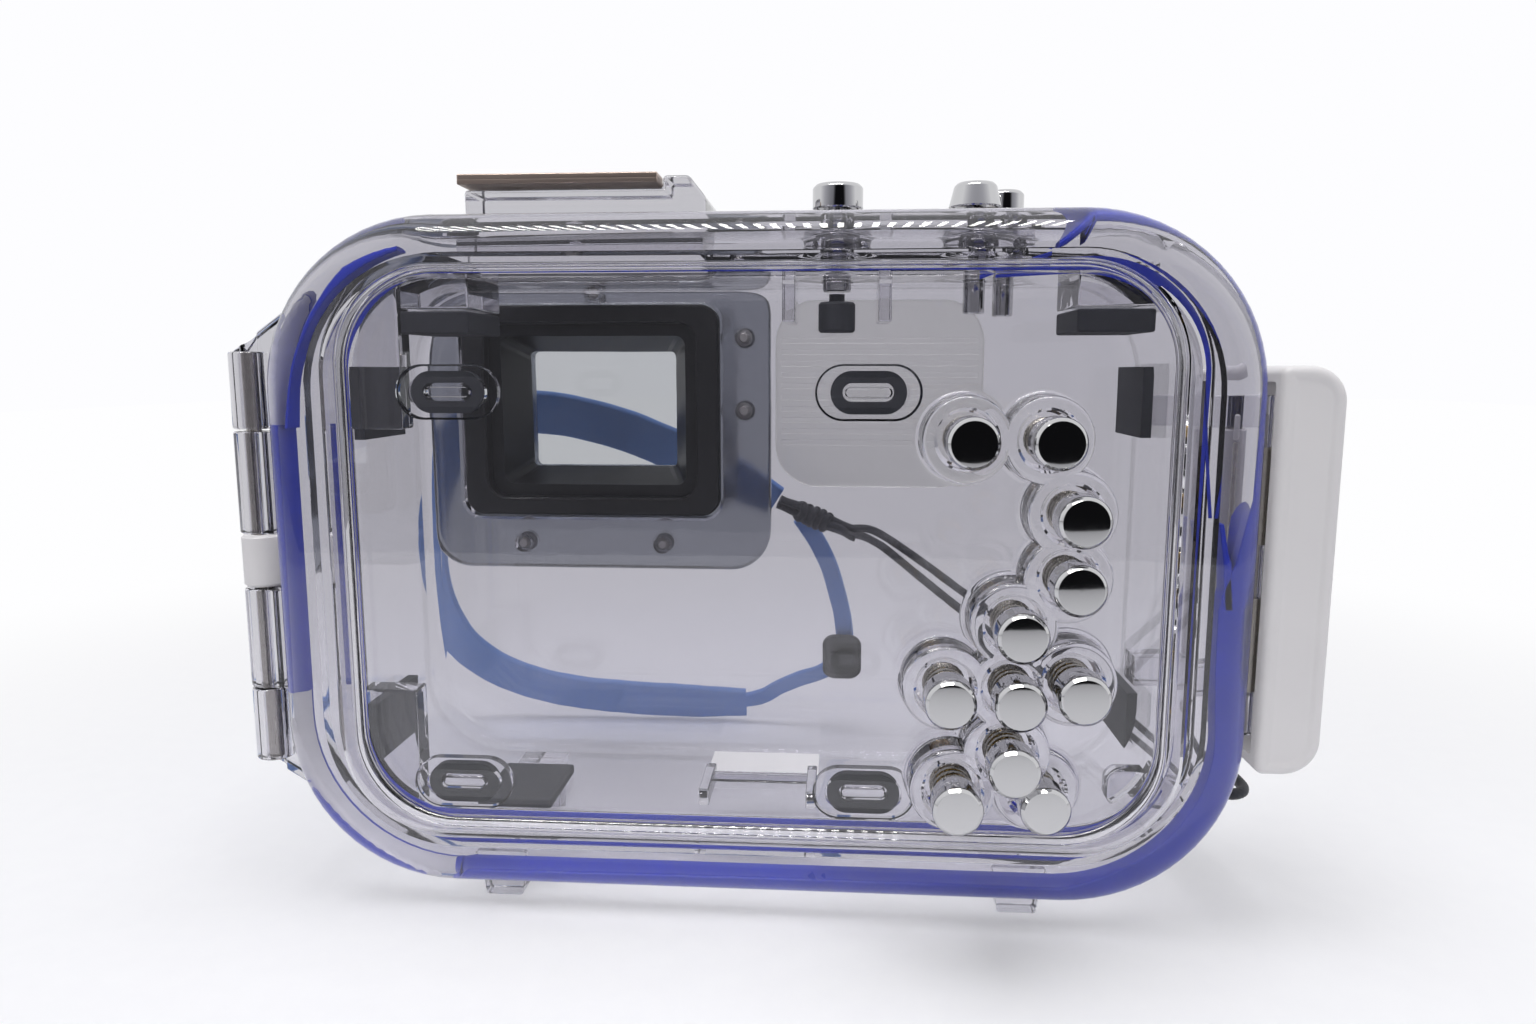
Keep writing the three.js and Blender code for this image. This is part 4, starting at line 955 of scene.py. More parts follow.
cover_adds = [pane, *(boss(c, d) for c, d in zip(BUTTONS, DROPS))]
for place in map(on_window, CUSHION_SHARES):
    cover_adds.append(pill_ring(place, (13.6, 7.2), (10.3, 6.1), -5.2, -3.0))
    cover_adds.append(pill(place, (6.0, 1.4), -5.2, -3.0))
cover_adds += knuckle(1) + knuckle(-1)
cover_adds.append(slab(63.3, 66.2, -2.5, -0.3, 28.1, 73.1))
cover_cuts = [well(c, d) for c, d in zip(BUTTONS, DROPS)]
cover_cuts.append(drill(PIN_BORE, HINGE, 20, 80))
cover_mesh = combined("rear_cover", cover_shell, add=cover_adds, cut=cover_cuts)
finished("clear_rear_cover", cover_mesh, CLEAR_CASE, "cover", "rear_cover")

# %% [markdown]
# ## Front case
# The deep half is also one clear moulding: a flange that meets the cover, walls of 3 mm with
# round corners, and the ears, feet, lugs and towers that grow out of it.

# %% Shell of the case
case_shell = skin(
    rings_of(CASE, CASE_CORNER, edge(4, 25.5, 4, -90, 0, 10))
    + rings_of(CASE, CASE_CORNER, [(0, 5.2), (-0.4, 4.2), (-1.4, 4.0)])
    + rings_of(
        OUTLINE,
        OUTLINE_CORNER,
        [*edge(0.5, 3.5, 0.5, -90, 0, 4), *edge(0.4, 0.4, 0.4, 0, 90, 4)],
    )
    + rings_of(CAVITY, CAVITY_CORNER, [(-0.4, 0), (0, 0.4), *edge(1.5, 25.0, 1.5, 0, -90, 5)])
)
print("shell faces", len(case_shell.faces))

# %% [markdown]
# What grows out of the case: two ears for the hinge, four feet, two lugs for the latch, three
# towers for the top buttons, the block under the shoe and the plate with the strap's eyelet. Each
# is made as a body of its own and joined, so that its edges could be rounded before.

# %% Ears, feet, lugs and towers
FEET = [(-37, 0.6, 7.3), (37, 0.6, 7.3), (-37, 20.9, 11.9), (37, 20.9, 11.9)]
FOOT_DEPTH = 4.6
TOWER_TOP, TOWER_FILLET = 96.7, 1.0
POWER, SHUTTER, MOVIE = (10.8, 12), (29.9, 12), (35.0, 19)
EYELET = (63.7, 17.9)
SHOE = [
    (-41.75, 89.9), (-7.45, 89.9), (-7.45, 100), (-9.85, 103), (-13.45, 103),
    (-13.45, 101.3), (-41.75, 101.3),
]


def ear(side):
    near, far = HINGE_Z + side * 18.4, HINGE_Z + side * 28.9
    left = HINGE[0] - ROD_RADIUS
    points = [(left, near), (left, far), (-48, 50.9 + side * 45.1), (-48, near)]
    rod = round_rod(HINGE, ROD_RADIUS, min(near, far), max(near, far))
    return [plate(points[::side], 0.02, 3.98, 0.4), rod]


def foot(x, rear, top):
    points = [(x - 3.8, top), (x - 2.7, 0), (x + 2.7, 0), (x + 3.8, top)]
    return plate(points, rear, rear + FOOT_DEPTH, 0.4)


def lug(side):
    low, high = span(side, 17.5, 22.0, LATCH_Z)
    arm = slab(56.1, 68.0, 18.0, 23.2, low + OVERLAP, high - OVERLAP)
    return [arm, round_rod(LEVER_AXIS, ROD_RADIUS, low, high)]


def tower(radius, centre):
    foot_round = fillet(radius, CASE_TOP, TOWER_FILLET, 1)
    lip = turned_edge(radius, TOWER_TOP, 0.5, -1)[::-1]
    root = [(0, TOWER_ROOT), (radius + TOWER_FILLET, TOWER_ROOT)]
    return turned([*root, *foot_round, *lip, (0, TOWER_TOP)], centre, "Z")


eyelet_plate = loft(
    (49.3, 66.4, 15.2, 20.6),
    1.8,
    [(0.5, 4.3), (0.15, 4.45), (0, 4.8), (0, 6.8), (0.15, 7.15), (0.5, 7.3)],
)
case_adds = [
    *ear(1),
    *ear(-1),
    *lug(1),
    *lug(-1),
    *(foot(*place) for place in FEET),
    tower(4.55, POWER),
    tower(4.65, SHUTTER),
    tower(3.8, MOVIE),
    plate(SHOE, 8.6, 22.4, 0.5),
    eyelet_plate,
]
print("bodies on the case", len(case_adds))

# %% [markdown]
# Inside, ribs stiffen the floor and guides steer the power button's stem. The two upper pads
# hang under blocks that grow from the ceiling.

# %% Blocks and ribs inside, holes, and the finished case
PAD_BLOCKS = [(-48.75, -38.75, 1.5, 14.5, 84.4, 89.9), (41.9, 51.9, 1.5, 14.5, 84.4, 89.9)]
FLOOR_RIBS = [
    (-8.65, -7.15, 5, 15, 11.9, 15.8), (6.95, 8.45, 5, 15, 11.9, 15.8),
    (-7.9, 7.7, 13.5, 15, 11.9, 14.6),
]
STEM_GUIDES = [(3.3, 5.1, 7, 17, 82.8, 89.9), (16.5, 18.3, 7, 17, 82.8, 89.9)]
HOOD_MIDDLE = (-28.8, 69.6)
SCREWS = [(-3.95, 81.3), (-3.95, 69.7), (-17.5, 47.8), (-40.7, 47.8), (-28.1, 89.0)]

case_adds += [slab(*box) for box in PAD_BLOCKS]
case_adds += [slab(*box, 0.25) for box in FLOOR_RIBS + STEM_GUIDES]
port_hole = loft(
    around(HOOD_MIDDLE, 42.4, 34.4), 3, [(-0.4, 25.5), (-0.4, 26.5), (0, 26.9), (0, 30.5)]
)
case_cuts = [
    port_hole,
    *(drill(1.4, place, 28, 31, "Y", 24) for place in SCREWS),
    drill(2.3, POWER, 82, 98),
    drill(1.8, SHUTTER, 84, 98),
    drill(1.8, MOVIE, 84, 98),
    drill(PIN_BORE, HINGE, 15, 85),
    drill(PIN_BORE, LEVER_AXIS, 20, 82),
    drill(1.7, EYELET, 3, 9, "Y"),
]
case_mesh = combined("front_case", case_shell, add=case_adds, cut=case_cuts)
finished("clear_front_case", case_mesh, CLEAR_CASE, "case", "front_case")

# %% [markdown]
# ## Seal
# The face seal is moulded with a blue silicone lip that meets the case, on a carrier whose pale
# colour is painted light: it stands in for the bright band of light that the domed rim shows there.
# Both are narrow and lie by the groove's outer wall, where the domed rim draws them out into a pale
# line and a thin blue one. Where the latch and the corners press hardest the blue silicone is
# squeezed across the groove, or out over the flange, and broad bands of blue show. Each such band
# is a strip along the outline, at an inset that changes along the way.

# %% The way round the outline
SIDE_STEPS = 30
TURN_STEPS = 16


# s runs anticlockwise seen from behind: 0 to 1 is the lower right corner, 1 to 2 the right
# side going up, and so on to 8 at the end of the bottom
def on_outline(b, corner, s, inset, y):
    left, right, low, high = b[0] + inset, b[1] - inset, b[2] + inset, b[3] - inset
    radius = max(corner - inset, 0.05)
    quarter, on_side = divmod(int(s % 8), 2)
    share = s % 1
    middles = [
        (right - radius, low + radius),
        (right - radius, high - radius),
        (left + radius, high - radius),
        (left + radius, low + radius),
    ]
    x, z = middles[quarter]
    if on_side:
        nx, nz = middles[(quarter + 1) % 4]
        x, z = x + (nx - x) * share, z + (nz - z) * share
        a = math.radians(90 * quarter)
    else:
        a = math.radians(-90 + 90 * quarter + 90 * share)
    return (x + radius * math.cos(a), y, z + radius * math.sin(a))


def at_height(z):
    low, high = OUTLINE[2] + OUTLINE_CORNER, OUTLINE[3] - OUTLINE_CORNER
    return (z - low) / (high - low)


def at_width(x):
    left, right = OUTLINE[0] + OUTLINE_CORNER, OUTLINE[1] - OUTLINE_CORNER
    return (x - left) / (right - left)

# %% [markdown]
# A strip of silicone is a small round-edged section carried along the outline. Its stations say
# how far in its two sides lie at each place, and the places between them are interpolated.

# %% Strips along the outline


# One lip from stations of (s, outer inset, inner inset), between two depths
def lip(stations, depths, b=OUTLINE, corner=OUTLINE_CORNER, closed=False):
    marks = [m[0] for m in stations]
    rear, front = depths
    steps = []
    for start, end in zip(marks, marks[1:]):
        count = max(int(abs(end - start) * (TURN_STEPS + SIDE_STEPS) / 2), 1)
        steps += [start + (end - start) * i / count for i in range(count)]
    if not closed:
        steps.append(marks[-1])
    rows = []
    for s in steps:
        outer, inner = (np.interp(s, marks, [m[side] for m in stations]) for side in (1, 2))
        soft = min(0.15, (inner - outer) / 3)
        section = [
            (outer, rear + soft), (outer + soft, rear),
            (inner - soft, rear), (inner, rear + soft),
            (inner, front - soft), (inner - soft, front),
            (outer + soft, front), (outer, front - soft),
        ]
        rows.append([on_outline(b, corner, s, inset, y) for inset, y in section])
    return skin(rows, closed)


# Places on the right side going up, on the top going left and on the left side going down
def up(z):
    return 9 + at_height(z)


def back(x):
    return 12 - at_width(x)


def down(z):
    return 5 + at_height(OUTLINE[2] + OUTLINE[3] - z)

# %% [markdown]
# The tables below were read from the photograph: where each blue band starts and ends, and how
# broad it is there. A painted texture could not follow the rim's refraction, so the bands are
# real silicone in the groove and on the flange, and the rim bends them as it does on the object.

# %% The seal's carrier, its lip and the squeezed bands
IN_GROOVE = (-3.45, -0.8)
ON_FLANGE = (-0.29, -0.02)
carrier = loft(
    OUTLINE,
    OUTLINE_CORNER,
    [(1.7, -1.2), (1.7, -3.0), (1.85, -3.2), (2.1, -3.2), (2.25, -3.0), (2.25, -1.2)],
    closed=True,
)
face_lip = loft(
    OUTLINE,
    OUTLINE_CORNER,
    [(1.7, -0.9), (1.7, -1.15), (2.25, -1.15), (2.25, -0.9), (2.1, -0.55), (1.85, -0.55)],
    closed=True,
)
left_span = (down(69), down(32.2))
in_groove = [
    [
        (6.15, 1.8, 2.0), (6.6, 1.8, 2.1), (7, 1.75, 2.2), (7 + at_width(-42), 1.75, 2.3),
        (7 + at_width(-39.5), 1.75, 2.6), (8, 1.75, 2.6), (8.5, 1.75, 3.4), (9, 2.0, 3.8),
        (up(38), 2.5, 4.3), (up(46), 2.5, 4.4), (up(52), 2.0, 3.1), (up(60), 1.9, 2.45),
        (10, 1.85, 2.35), (10.6, 1.85, 2.4), (11, 2.6, 3.2), (back(44), 3.4, 4.0),
        (back(38), 4.3, 4.9),
    ],
    [(up(46), 3.0, 3.7), (up(52), 3.3, 4.1), (up(57), 4.3, 4.9)],
    [(4.15, 3.9, 4.2), (4.4, 3.3, 4.2), (4.75, 3.5, 4.0), (5.1, 2.6, 2.8)],
]
on_flange = [
    [
        (up(57.5), 5.15, 5.6), (up(66), 6.1, 6.5), (10, 6.7, 7.1), (11, 7.2, 7.6),
        (back(31), 7.7, 8.1),
    ],
    [(back(37.5), 5.1, 5.6), (back(33), 6.4, 6.9), (back(29), 7.7, 8.3)],
    [(s, 3.9, 4.9) for s in left_span],
]

# A bead at the mouth of the cavity, all round, and a thin second one along the bottom
mouth_beads = [
    [
        (0, -0.4, 0.7), (0.6, -0.4, 0.7), (1, -1.5, -0.35), (1.5, -1.5, -0.35), (2, -1.9, -0.2),
        (3, -1.9, -0.2), (3.2, -1.4, -0.4), (4, -0.9, -0.4), (4.3, -0.6, 0.2), (4.6, -0.4, 0.7),
        (8, -0.4, 0.7),
    ],
    [(6.3, -2.9, -2.6), (7, -2.9, -2.3), (8, -2.9, -2.3), (8.7, -2.9, -2.6)],
]
squeezed = [lip(stations, IN_GROOVE) for stations in in_groove]
squeezed.append(lip([(s, 2.05, 2.3) for s in left_span], IN_GROOVE))
squeezed += [lip(stations, ON_FLANGE) for stations in on_flange]
squeezed += [
    lip(stations, ON_FLANGE, CAVITY, CAVITY_CORNER, closed=stations[0][0] == 0)
    for stations in mouth_beads
]
seal_mesh = gathered([face_lip, *squeezed])
finished("silicone_face_seal", seal_mesh, SEAL_SILICONE, "cover", "main_seal", 60)
# The carrier's pale colour is painted light, for the bright band the domed rim shows over it
finished("seal_carrier_painted_light", carrier, SEAL_CARRIER, "cover", crease=60)
print("bands of squeezed seal", len(squeezed))

# %% [markdown]
# ## Push buttons
# Each cap is turned from brass and plated. Its face is a little crowned, as turned faces are,
# so it shows a small round picture of the whole room: dark above, pale floor below. A narrow
# chamfer rings it. The stem goes through a brass sleeve, and a coil spring pushes the cap out.

# %% Caps, stems, sleeves and springs
CROWN, CROWN_STEPS = 30.0, 6
CAP_REAR, CAP_DEPTH, STROKE = -19.0, 4.2, 2.0
SLEEVE_FLANGE, SPRING_ROOM = 0.45, 0.2
COIL_STEPS = 20


# The crowned face of a cap: it stands out most in the middle
def crowned(radius, top, inward):
    radii = [radius * i / CROWN_STEPS for i in range(CROWN_STEPS + 1)]
    return [(r, top + inward * (CROWN - math.sqrt(CROWN**2 - r**2))) for r in radii]


def rear_cap(centre, rear):
    rim = [(2.65, 0.12), (3.0, 0.47), (3.08, 0.6), (3.1, 0.75), (3.1, 4.0), (2.9, 4.2)]
    neck = [(2.1, 4.2), (2.1, 5.2), (1.5, 5.2)]
    side = [(radius, rear + along) for radius, along in rim + neck]
    return turned([*crowned(2.55, rear, 1), *side, (1.5, -3.4), (1.3, -3.2), (0, -3.2)], centre)


def spring_line(centre, low, high, radius, turns, axis="Y"):
    points = []
    count = int(turns * COIL_STEPS)
    flat = 0.5 / turns
    for i in range(count + 1):
        share = i / count
        lift = min(max((share - flat) / (1 - 2 * flat), 0), 1)
        a = 2 * math.pi * turns * share
        points.append(Vector(about(centre, axis, radius, a, low + (high - low) * lift)))
    return points


def wire(line, radius):
    return swept(line, lambda a, along: radius, 8)


def sleeve(centre, floor):
    seat, end = floor - SLEEVE_FLANGE, PANE_FRONT - 0.1
    profile = [
        (1.53, seat), (2.3, seat), (2.3, floor - 0.05),
        (1.77, floor - 0.05), (1.77, end), (1.53, end),
    ]
    return turned(profile, centre, "Y", 40, closed=True)

# %% [markdown]
# Eleven buttons differ only in place, and the lowest sits in the low boss with a shorter spring.
# So one loop makes a cap, a sleeve and a spring for each.

# %% The eleven rear buttons
for number, (centre, drop) in enumerate(zip(BUTTONS, DROPS), 1):
    label = f"{number:02d}"
    rear = CAP_REAR + drop
    floor = well_floor(drop)
    finished(
        f"chromed_cap_{label}", rear_cap(centre, rear), CHROME,
        f"button_{label}", f"rear_button_{label}",
    )
    finished(f"brass_sleeve_{label}", sleeve(centre, floor), BRASS, "cover")
    seat, cap_front = floor - SLEEVE_FLANGE, rear + CAP_DEPTH
    turns = 3.5 if drop else 4.5
    line = spring_line(centre, seat - SPRING_ROOM, cap_front + SPRING_ROOM, 2.55, turns)
    spring = finished(f"coil_spring_{label}", wire(line, 0.19), STEEL, "cover")
    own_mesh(spring)
print("rear buttons", number)

# %% [markdown]
# The three top buttons are of the same make, upright: a plain power button, a stepped shutter
# release and a smaller movie button. Their springs are short, so pressed flat they keep only a
# sixth of their length.

# %% Top buttons
TOP_FACE, CAP_FOOT = 102, 98.5


def top_cap(centre, base, top, stem, low):
    rim = [(top - 0.45, 101.88), (top - 0.1, 101.53), (top, 101.3)]
    foot_rim = [(base, 98.7), (base - 0.2, CAP_FOOT)]
    end = [(stem, CAP_FOOT), (stem, low + 0.2), (stem - 0.2, low), (0, low)]
    return turned([*crowned(top - 0.55, TOP_FACE, -1), *rim, *foot_rim, *end], centre, "Z")


for label, centre, base, top, stem, low in (
    ("power", POWER, 3.55, 3.55, 2.0, 87.1),
    ("shutter", SHUTTER, 3.65, 3.0, 1.5, 84.0),
    ("movie", MOVIE, 2.8, 2.8, 1.5, 84.0),
):
    cap_mesh = top_cap(centre, base, top, stem, low)
    finished(f"chromed_{label}_cap", cap_mesh, CHROME, label, f"{label}_button")
    line = spring_line(centre, 96.86, 98.34, base - 0.7, 2.5, "Z")
    spring = finished(f"{label}_spring", wire(line, 0.15), STEEL, "case")
    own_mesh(spring)
tip_profile = [
    (0, 81.5), (2.3, 81.5), (2.6, 81.8), (2.6, 85.4), (2.3, 85.7), (1.1, 85.7),
    (1.1, 86.8), (0, 86.8),
]
finished("rubber_power_tip", turned(tip_profile, POWER, "Z"), BLACK_RUBBER, "power", "power_tip")
print("top buttons done")

# %% [markdown]
# ## Cushions and pads
# Small pads of black closed-cell rubber hold the camera. The four on the window are moulded
# loops that sit in clear rings, and those on the walls are cut from sheet, so their edges are
# crisp and only slightly rounded.

# %% Cushions and pads
for number, place in enumerate(map(on_window, CUSHION_SHARES), 1):
    mesh = pill_ring(place, (9.7, 5.5), (6.6, 2.0), -4.2, -2.2)
    finished(f"rubber_cushion_{number}", mesh, BLACK_RUBBER, "cover", f"lcd_cushion_{number}")


def pad(name, box_mm):
    return finished(f"rubber_{name}", slab(*box_mm, 0.35), BLACK_RUBBER, "case", name)


pad("pad_floor", (-40.1, -29.5, 1.5, 14.5, 13.7, 15.2))
pad("pad_top_left", (-48.75, -38.75, 1.5, 14.5, 81.1, 84.1))
pad("pad_top_right", (41.9, 51.9, 1.5, 14.5, 81.1, 84.1))
for name in ("pad_left_upper", "pad_left_lower", "pad_right_upper", "pad_right_lower"):
    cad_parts[name].data.materials[0] = BLACK_RUBBER
print("cushions and pads done")

# %% [markdown]
# ## Lens port
# The port is a smoky, half-clear moulding screwed on in front, with a stepped black hood that
# keeps stray light out and a flat glass.

# %% Port housing
SCREW_SEAT = 31.6


def hood_loft(size, corner, profile):
    return loft(around(HOOD_MIDDLE, *size), corner, profile)


def slot_cut(size, corner, rear, front):
    return hood_loft(size, corner, [(0, rear), (0, front)])


def tapered(sections):
    return skin(
        [ring(around(HOOD_MIDDLE, *size), corner, inset, y) for size, corner, inset, y in sections]
    )


port_flange = loft(
    around((-28.1, 67.5), 56.7, 47.8),
    6.5,
    [(0.3, 29.8), (0, 30.1), *edge(0.6, 32.2, 0.6, 0, -90, 4)],
)
nose = tapered(
    [
        ((40.7, 34.4), 3.4, 0, 30.2),
        ((43.64, 37.34), 3.6, 0, 49.6),
        ((43.7, 37.4), 3.6, 0.12, 49.88),
        ((43.7, 37.4), 3.6, 0.4, 50),
    ]
)
port_cuts = [
    slot_cut((42.4, 34.4), 3, 28, 30.1),
    slot_cut((37.5, 31.2), 3, 28, 37.6),
    slot_cut((30.0, 24.5), 3, 37, 40.4),
    slot_cut((25.0, 19.5), 0.8, 37, 51),
    tapered([((25.0, 19.5), 1.2, 0, 40.7), ((38.7, 32.4), 1.2, 0, 50.3)]),
]
screw_hole = [(0, 28), (1.4, 28), (1.4, SCREW_SEAT), (1.9, SCREW_SEAT), (1.9, 34), (0, 34)]
port_cuts += [turned(screw_hole, centre, "Y", 32) for centre in SCREWS]
port_mesh = combined("port_housing", port_flange, add=[nose], cut=port_cuts)
finished("smoky_port_housing", port_mesh, SMOKE_PORT, "case", "port_housing")

# %% [markdown]
# The hood is moulded in black, matt inside, and narrows in steps towards the glass. Joining two
# lofts and cutting a tapered mouth gives the steps in one closed body. Five screws hold the port.

# %% Hood, glass and screws
hood_mesh = combined(
    "port_hood",
    hood_loft((41.8, 33.8), 3, [*edge(0.5, 27.3, 0.5, 90, 0, 3), (0, 29.6), (0.2, 29.8)]),
    add=[hood_loft((36.9, 30.6), 3, [(0, 27.5), (0, 37.0), (0.3, 37.3)])],
    cut=[
        hood_loft((34.3, 28.0), 3, [(-0.3, 26.0), (-0.3, 26.8), (0, 27.1), (0, 29.4)]),
        slot_cut((25.0, 19.5), 0.8, 26, 38),
        tapered([((31.3, 25.0), 1.6, 0, 28.1), ((25.0, 19.5), 1.6, 0, 37.0)]),
    ],
)
finished("stepped_port_hood", hood_mesh, BLACK_ABS, "case", "port_hood")
glass_mesh = hood_loft((29.4, 23.9), 3, [(0.3, 37.6), (0, 37.9), (0, 39.8), (0.3, 40.1)])
finished("port_glass_pane", glass_mesh, PORT_GLASS, "case", "port_glass")
screw_profile = [
    (0, 28.3), (0.6, 28.3), (0.8, 28.6), (0.8, 31.9), (1.6, 31.9), (1.6, 32.3),
    (1.35, 32.7), (0.85, 32.8), (0.75, 32.3), (0, 32.3),
]
for number, centre in enumerate(SCREWS, 1):
    screw = turned(screw_profile, centre, "Y", 32)
    finished(f"port_screw_turned_{number}", screw, SCREW_STEEL, "case", f"port_screw_{number}")
print("port screws", number)

# %% [markdown]
# ## Flash window, shoe, label
# The flash window is frosted and ribbed on its inner face, which spreads the flash. The shoe is
# a steel plate folded from sheet. The label on the floor is blank film.

# %% Flash window, shoe plate and label
RIB_PITCH, RIB_WIDTH = 1.8, 0.9

flash_plate = loft(
    (1.05, 34.05, 57.4, 87.4),
    7,
    [(0.2, 30.2), (0, 30.4), (0, 31.0), *edge(0.4, 31.0, 0.4, 0, -90, 3)],
)
rib_places = np.arange(64.2, 81.0, RIB_PITCH)
flash_ribs = [slab(1.9, 33.2, 29.82, 30.6, z, z + RIB_WIDTH, 0.2) for z in rib_places]
flash_mesh = combined("flash", flash_plate, add=flash_ribs)
finished("frosted_flash_window", flash_mesh, FROST, "case", "flash_diffuser")
shoe_mesh = combined(
    "shoe_plate",
    slab(-41.75, -13.75, 6, 25, 101.6, 102.3, 0.15),
    add=[
        slab(-41.75, -13.75, 6, 10.6, 102.1, 103, 0.2),
        slab(-41.75, -13.75, 20.4, 25, 102.1, 103, 0.2),
        slab(-41.75, -40.3, 6, 25, 102.1, 103, 0.2),
    ],
)
finished("folded_shoe_plate", shoe_mesh, SHOE_STEEL, "case", "shoe_plate")
label_mesh = slab(-8.6, 8.6, 15.6, 24.2, 13.7, 14.0, 0.05)
finished("blank_floor_label", label_mesh, LABEL_FILM, "case", "blank_label")

# %% [markdown]
# ## Hinge and latch
# A steel pin runs through ears and knuckles, with a white bush in the middle. The latch is a
# white moulded lever that turns on its own pin and carries a steel hook.

# %% Pins and bush


def pin(name, centre, radius, low, high, body, node):
    return finished(name, chamfered_rod(centre, radius, 0.2, low, high, 32), STEEL, body, node)


pin("steel_hinge_pin", HINGE, 1.0, 20.9, 78.7, "case", "hinge_pin")
pin("steel_lever_pin", LEVER_AXIS, 1.0, 28.6, 72.6, "case", "lever_pin")
pin("steel_hook_pin", HOOK_AXIS, 0.8, 30.9, 70.3, "lever", "hook_pin")
bush_profile = [(1.3, 46.2), (2.3, 46.2), (2.6, 46.5), (2.6, 53.1), (2.3, 53.4), (1.3, 53.4)]
bush = turned(bush_profile, HINGE, "Z", 48, closed=True)
finished("white_hinge_bush", bush, WHITE_ABS, "case", "hinge_bush")

# %% [markdown]
# The lever is a hollow white cover. Its shell is cut first, and the barrels for its pins are
# joined to it after that, or else the cut would take them away again.

# %% Latch lever
LEVER, LEVER_CORNERS = (65.3, 73.3, 24.4, 76.8), (4.6, 4.6, 1.2, 1.2)
BARREL_HALF = 17.2
EYE_RADIUS, EYE_CHAMFER = 1.8, 0.15
lever_body = loft(
    LEVER,
    LEVER_CORNERS,
    [
        (1.9, -6.42), (1.6, -6.42), (1.35, -6.6), (0.9, -6.6),
        *edge(0.9, -5.7, 0.9, 90, 0, 5), (0, 19.9), (0.2, 20.4), (0.7, 20.6),
    ],
)
lever_hollow = loft(
    (56, 70.9, 26.4, 74.8), (2.6, 2.6, 1, 1), [(0.6, -4.6), (0.15, -4.45), (0, -4.0), (0, 22)]
)
barrel_ends = (LATCH_Z - BARREL_HALF, LATCH_Z + BARREL_HALF)
lever_adds = [
    chamfered_rod(LEVER_AXIS, ROD_RADIUS, 0.2, *barrel_ends, 64),
    slab(68.0, 71.6, 18.0, 20.6, 33.4, 67.8, 0.2),
]
for side in (-1, 1):
    low, high = span(side, 16.3, 19.7, LATCH_Z)
    lever_adds.append(chamfered_rod(HOOK_AXIS, EYE_RADIUS, EYE_CHAMFER, low, high, 40))
    lever_adds.append(slab(66.0, 71.6, 7.2, 10.8, low + OVERLAP, high - OVERLAP, 0.2))
lever_mesh = combined(
    "latch_lever",
    combined("lever_shell", lever_body, cut=[lever_hollow]),
    add=lever_adds,
    cut=[
        drill(PIN_BORE, LEVER_AXIS, 20, 80),
        drill(HOOK_BORE, HOOK_AXIS, 20, 80),
        slab(72.0, 75, 0.7, 9.3, 45.3, 58.9, 0),
        slab(68.5, 75, 3.9, 6.1, 47.8, 56.4, 0),
    ],
)
finished("white_latch_lever", lever_mesh, WHITE_ABS, "lever", "latch_lever")

# %% [markdown]
# The hook is bent from sheet steel and has an eye for its pin, so a slab, a claw and a rod are
# joined. The lock slider has three lines in its face as a grip for a fingertip.

# %% Hook and lock slider
HOOK_LOW, HOOK_HIGH = 34.6, 66.6
GRIP_LINES = (48.1, 50.6, 53.1)
hook_span = (HOOK_LOW + OVERLAP, HOOK_HIGH - OVERLAP)
hook_eye = chamfered_rod(HOOK_AXIS, EYE_RADIUS, EYE_CHAMFER, HOOK_LOW, HOOK_HIGH, 40)
hook_mesh = combined(
    "latch_hook",
    slab(66.5, 67.7, -4.0, 9.0, *hook_span, 0.15),
    add=[slab(64.3, 67.7, -4.0, -2.8, *hook_span, 0.15), hook_eye],
    cut=[slab(64, 66.5, -5.2, -1.8, 47.1, 54.1, 0), drill(HOOK_BORE, HOOK_AXIS, 33, 68)],
)
finished("steel_latch_hook", hook_mesh, STEEL, "hook", "latch_hook")
slider_mesh = combined(
    "lock_slider",
    slab(72.3, 73.3, 1.0, 9.0, 45.6, 55.6, 0.2),
    add=[slab(70.9, 72.8, 4.2, 5.8, 48.1, 53.1, 0.1)],
    cut=[slab(72.97, 75, 0, 10, z - 0.5, z + 0.5, 0) for z in GRIP_LINES],
)
finished("white_lock_slider", slider_mesh, WHITE_ABS, "lock", "lock_slider")
print("latch done")

# %% [markdown]
# ## Floor, light and background
# The housing stands on pale seamless paper in front of a bright wall. The room behind the camera
# is greyer, which gives clear plastic its grey lines, and it has a dark end that only mirrors
# show: the caps get their black parts from it. Near the housing the paper takes a soft shadow,
# further off it fades to the white of the wall.

# %% Seamless paper
SEEN_THROUGH = 0.74


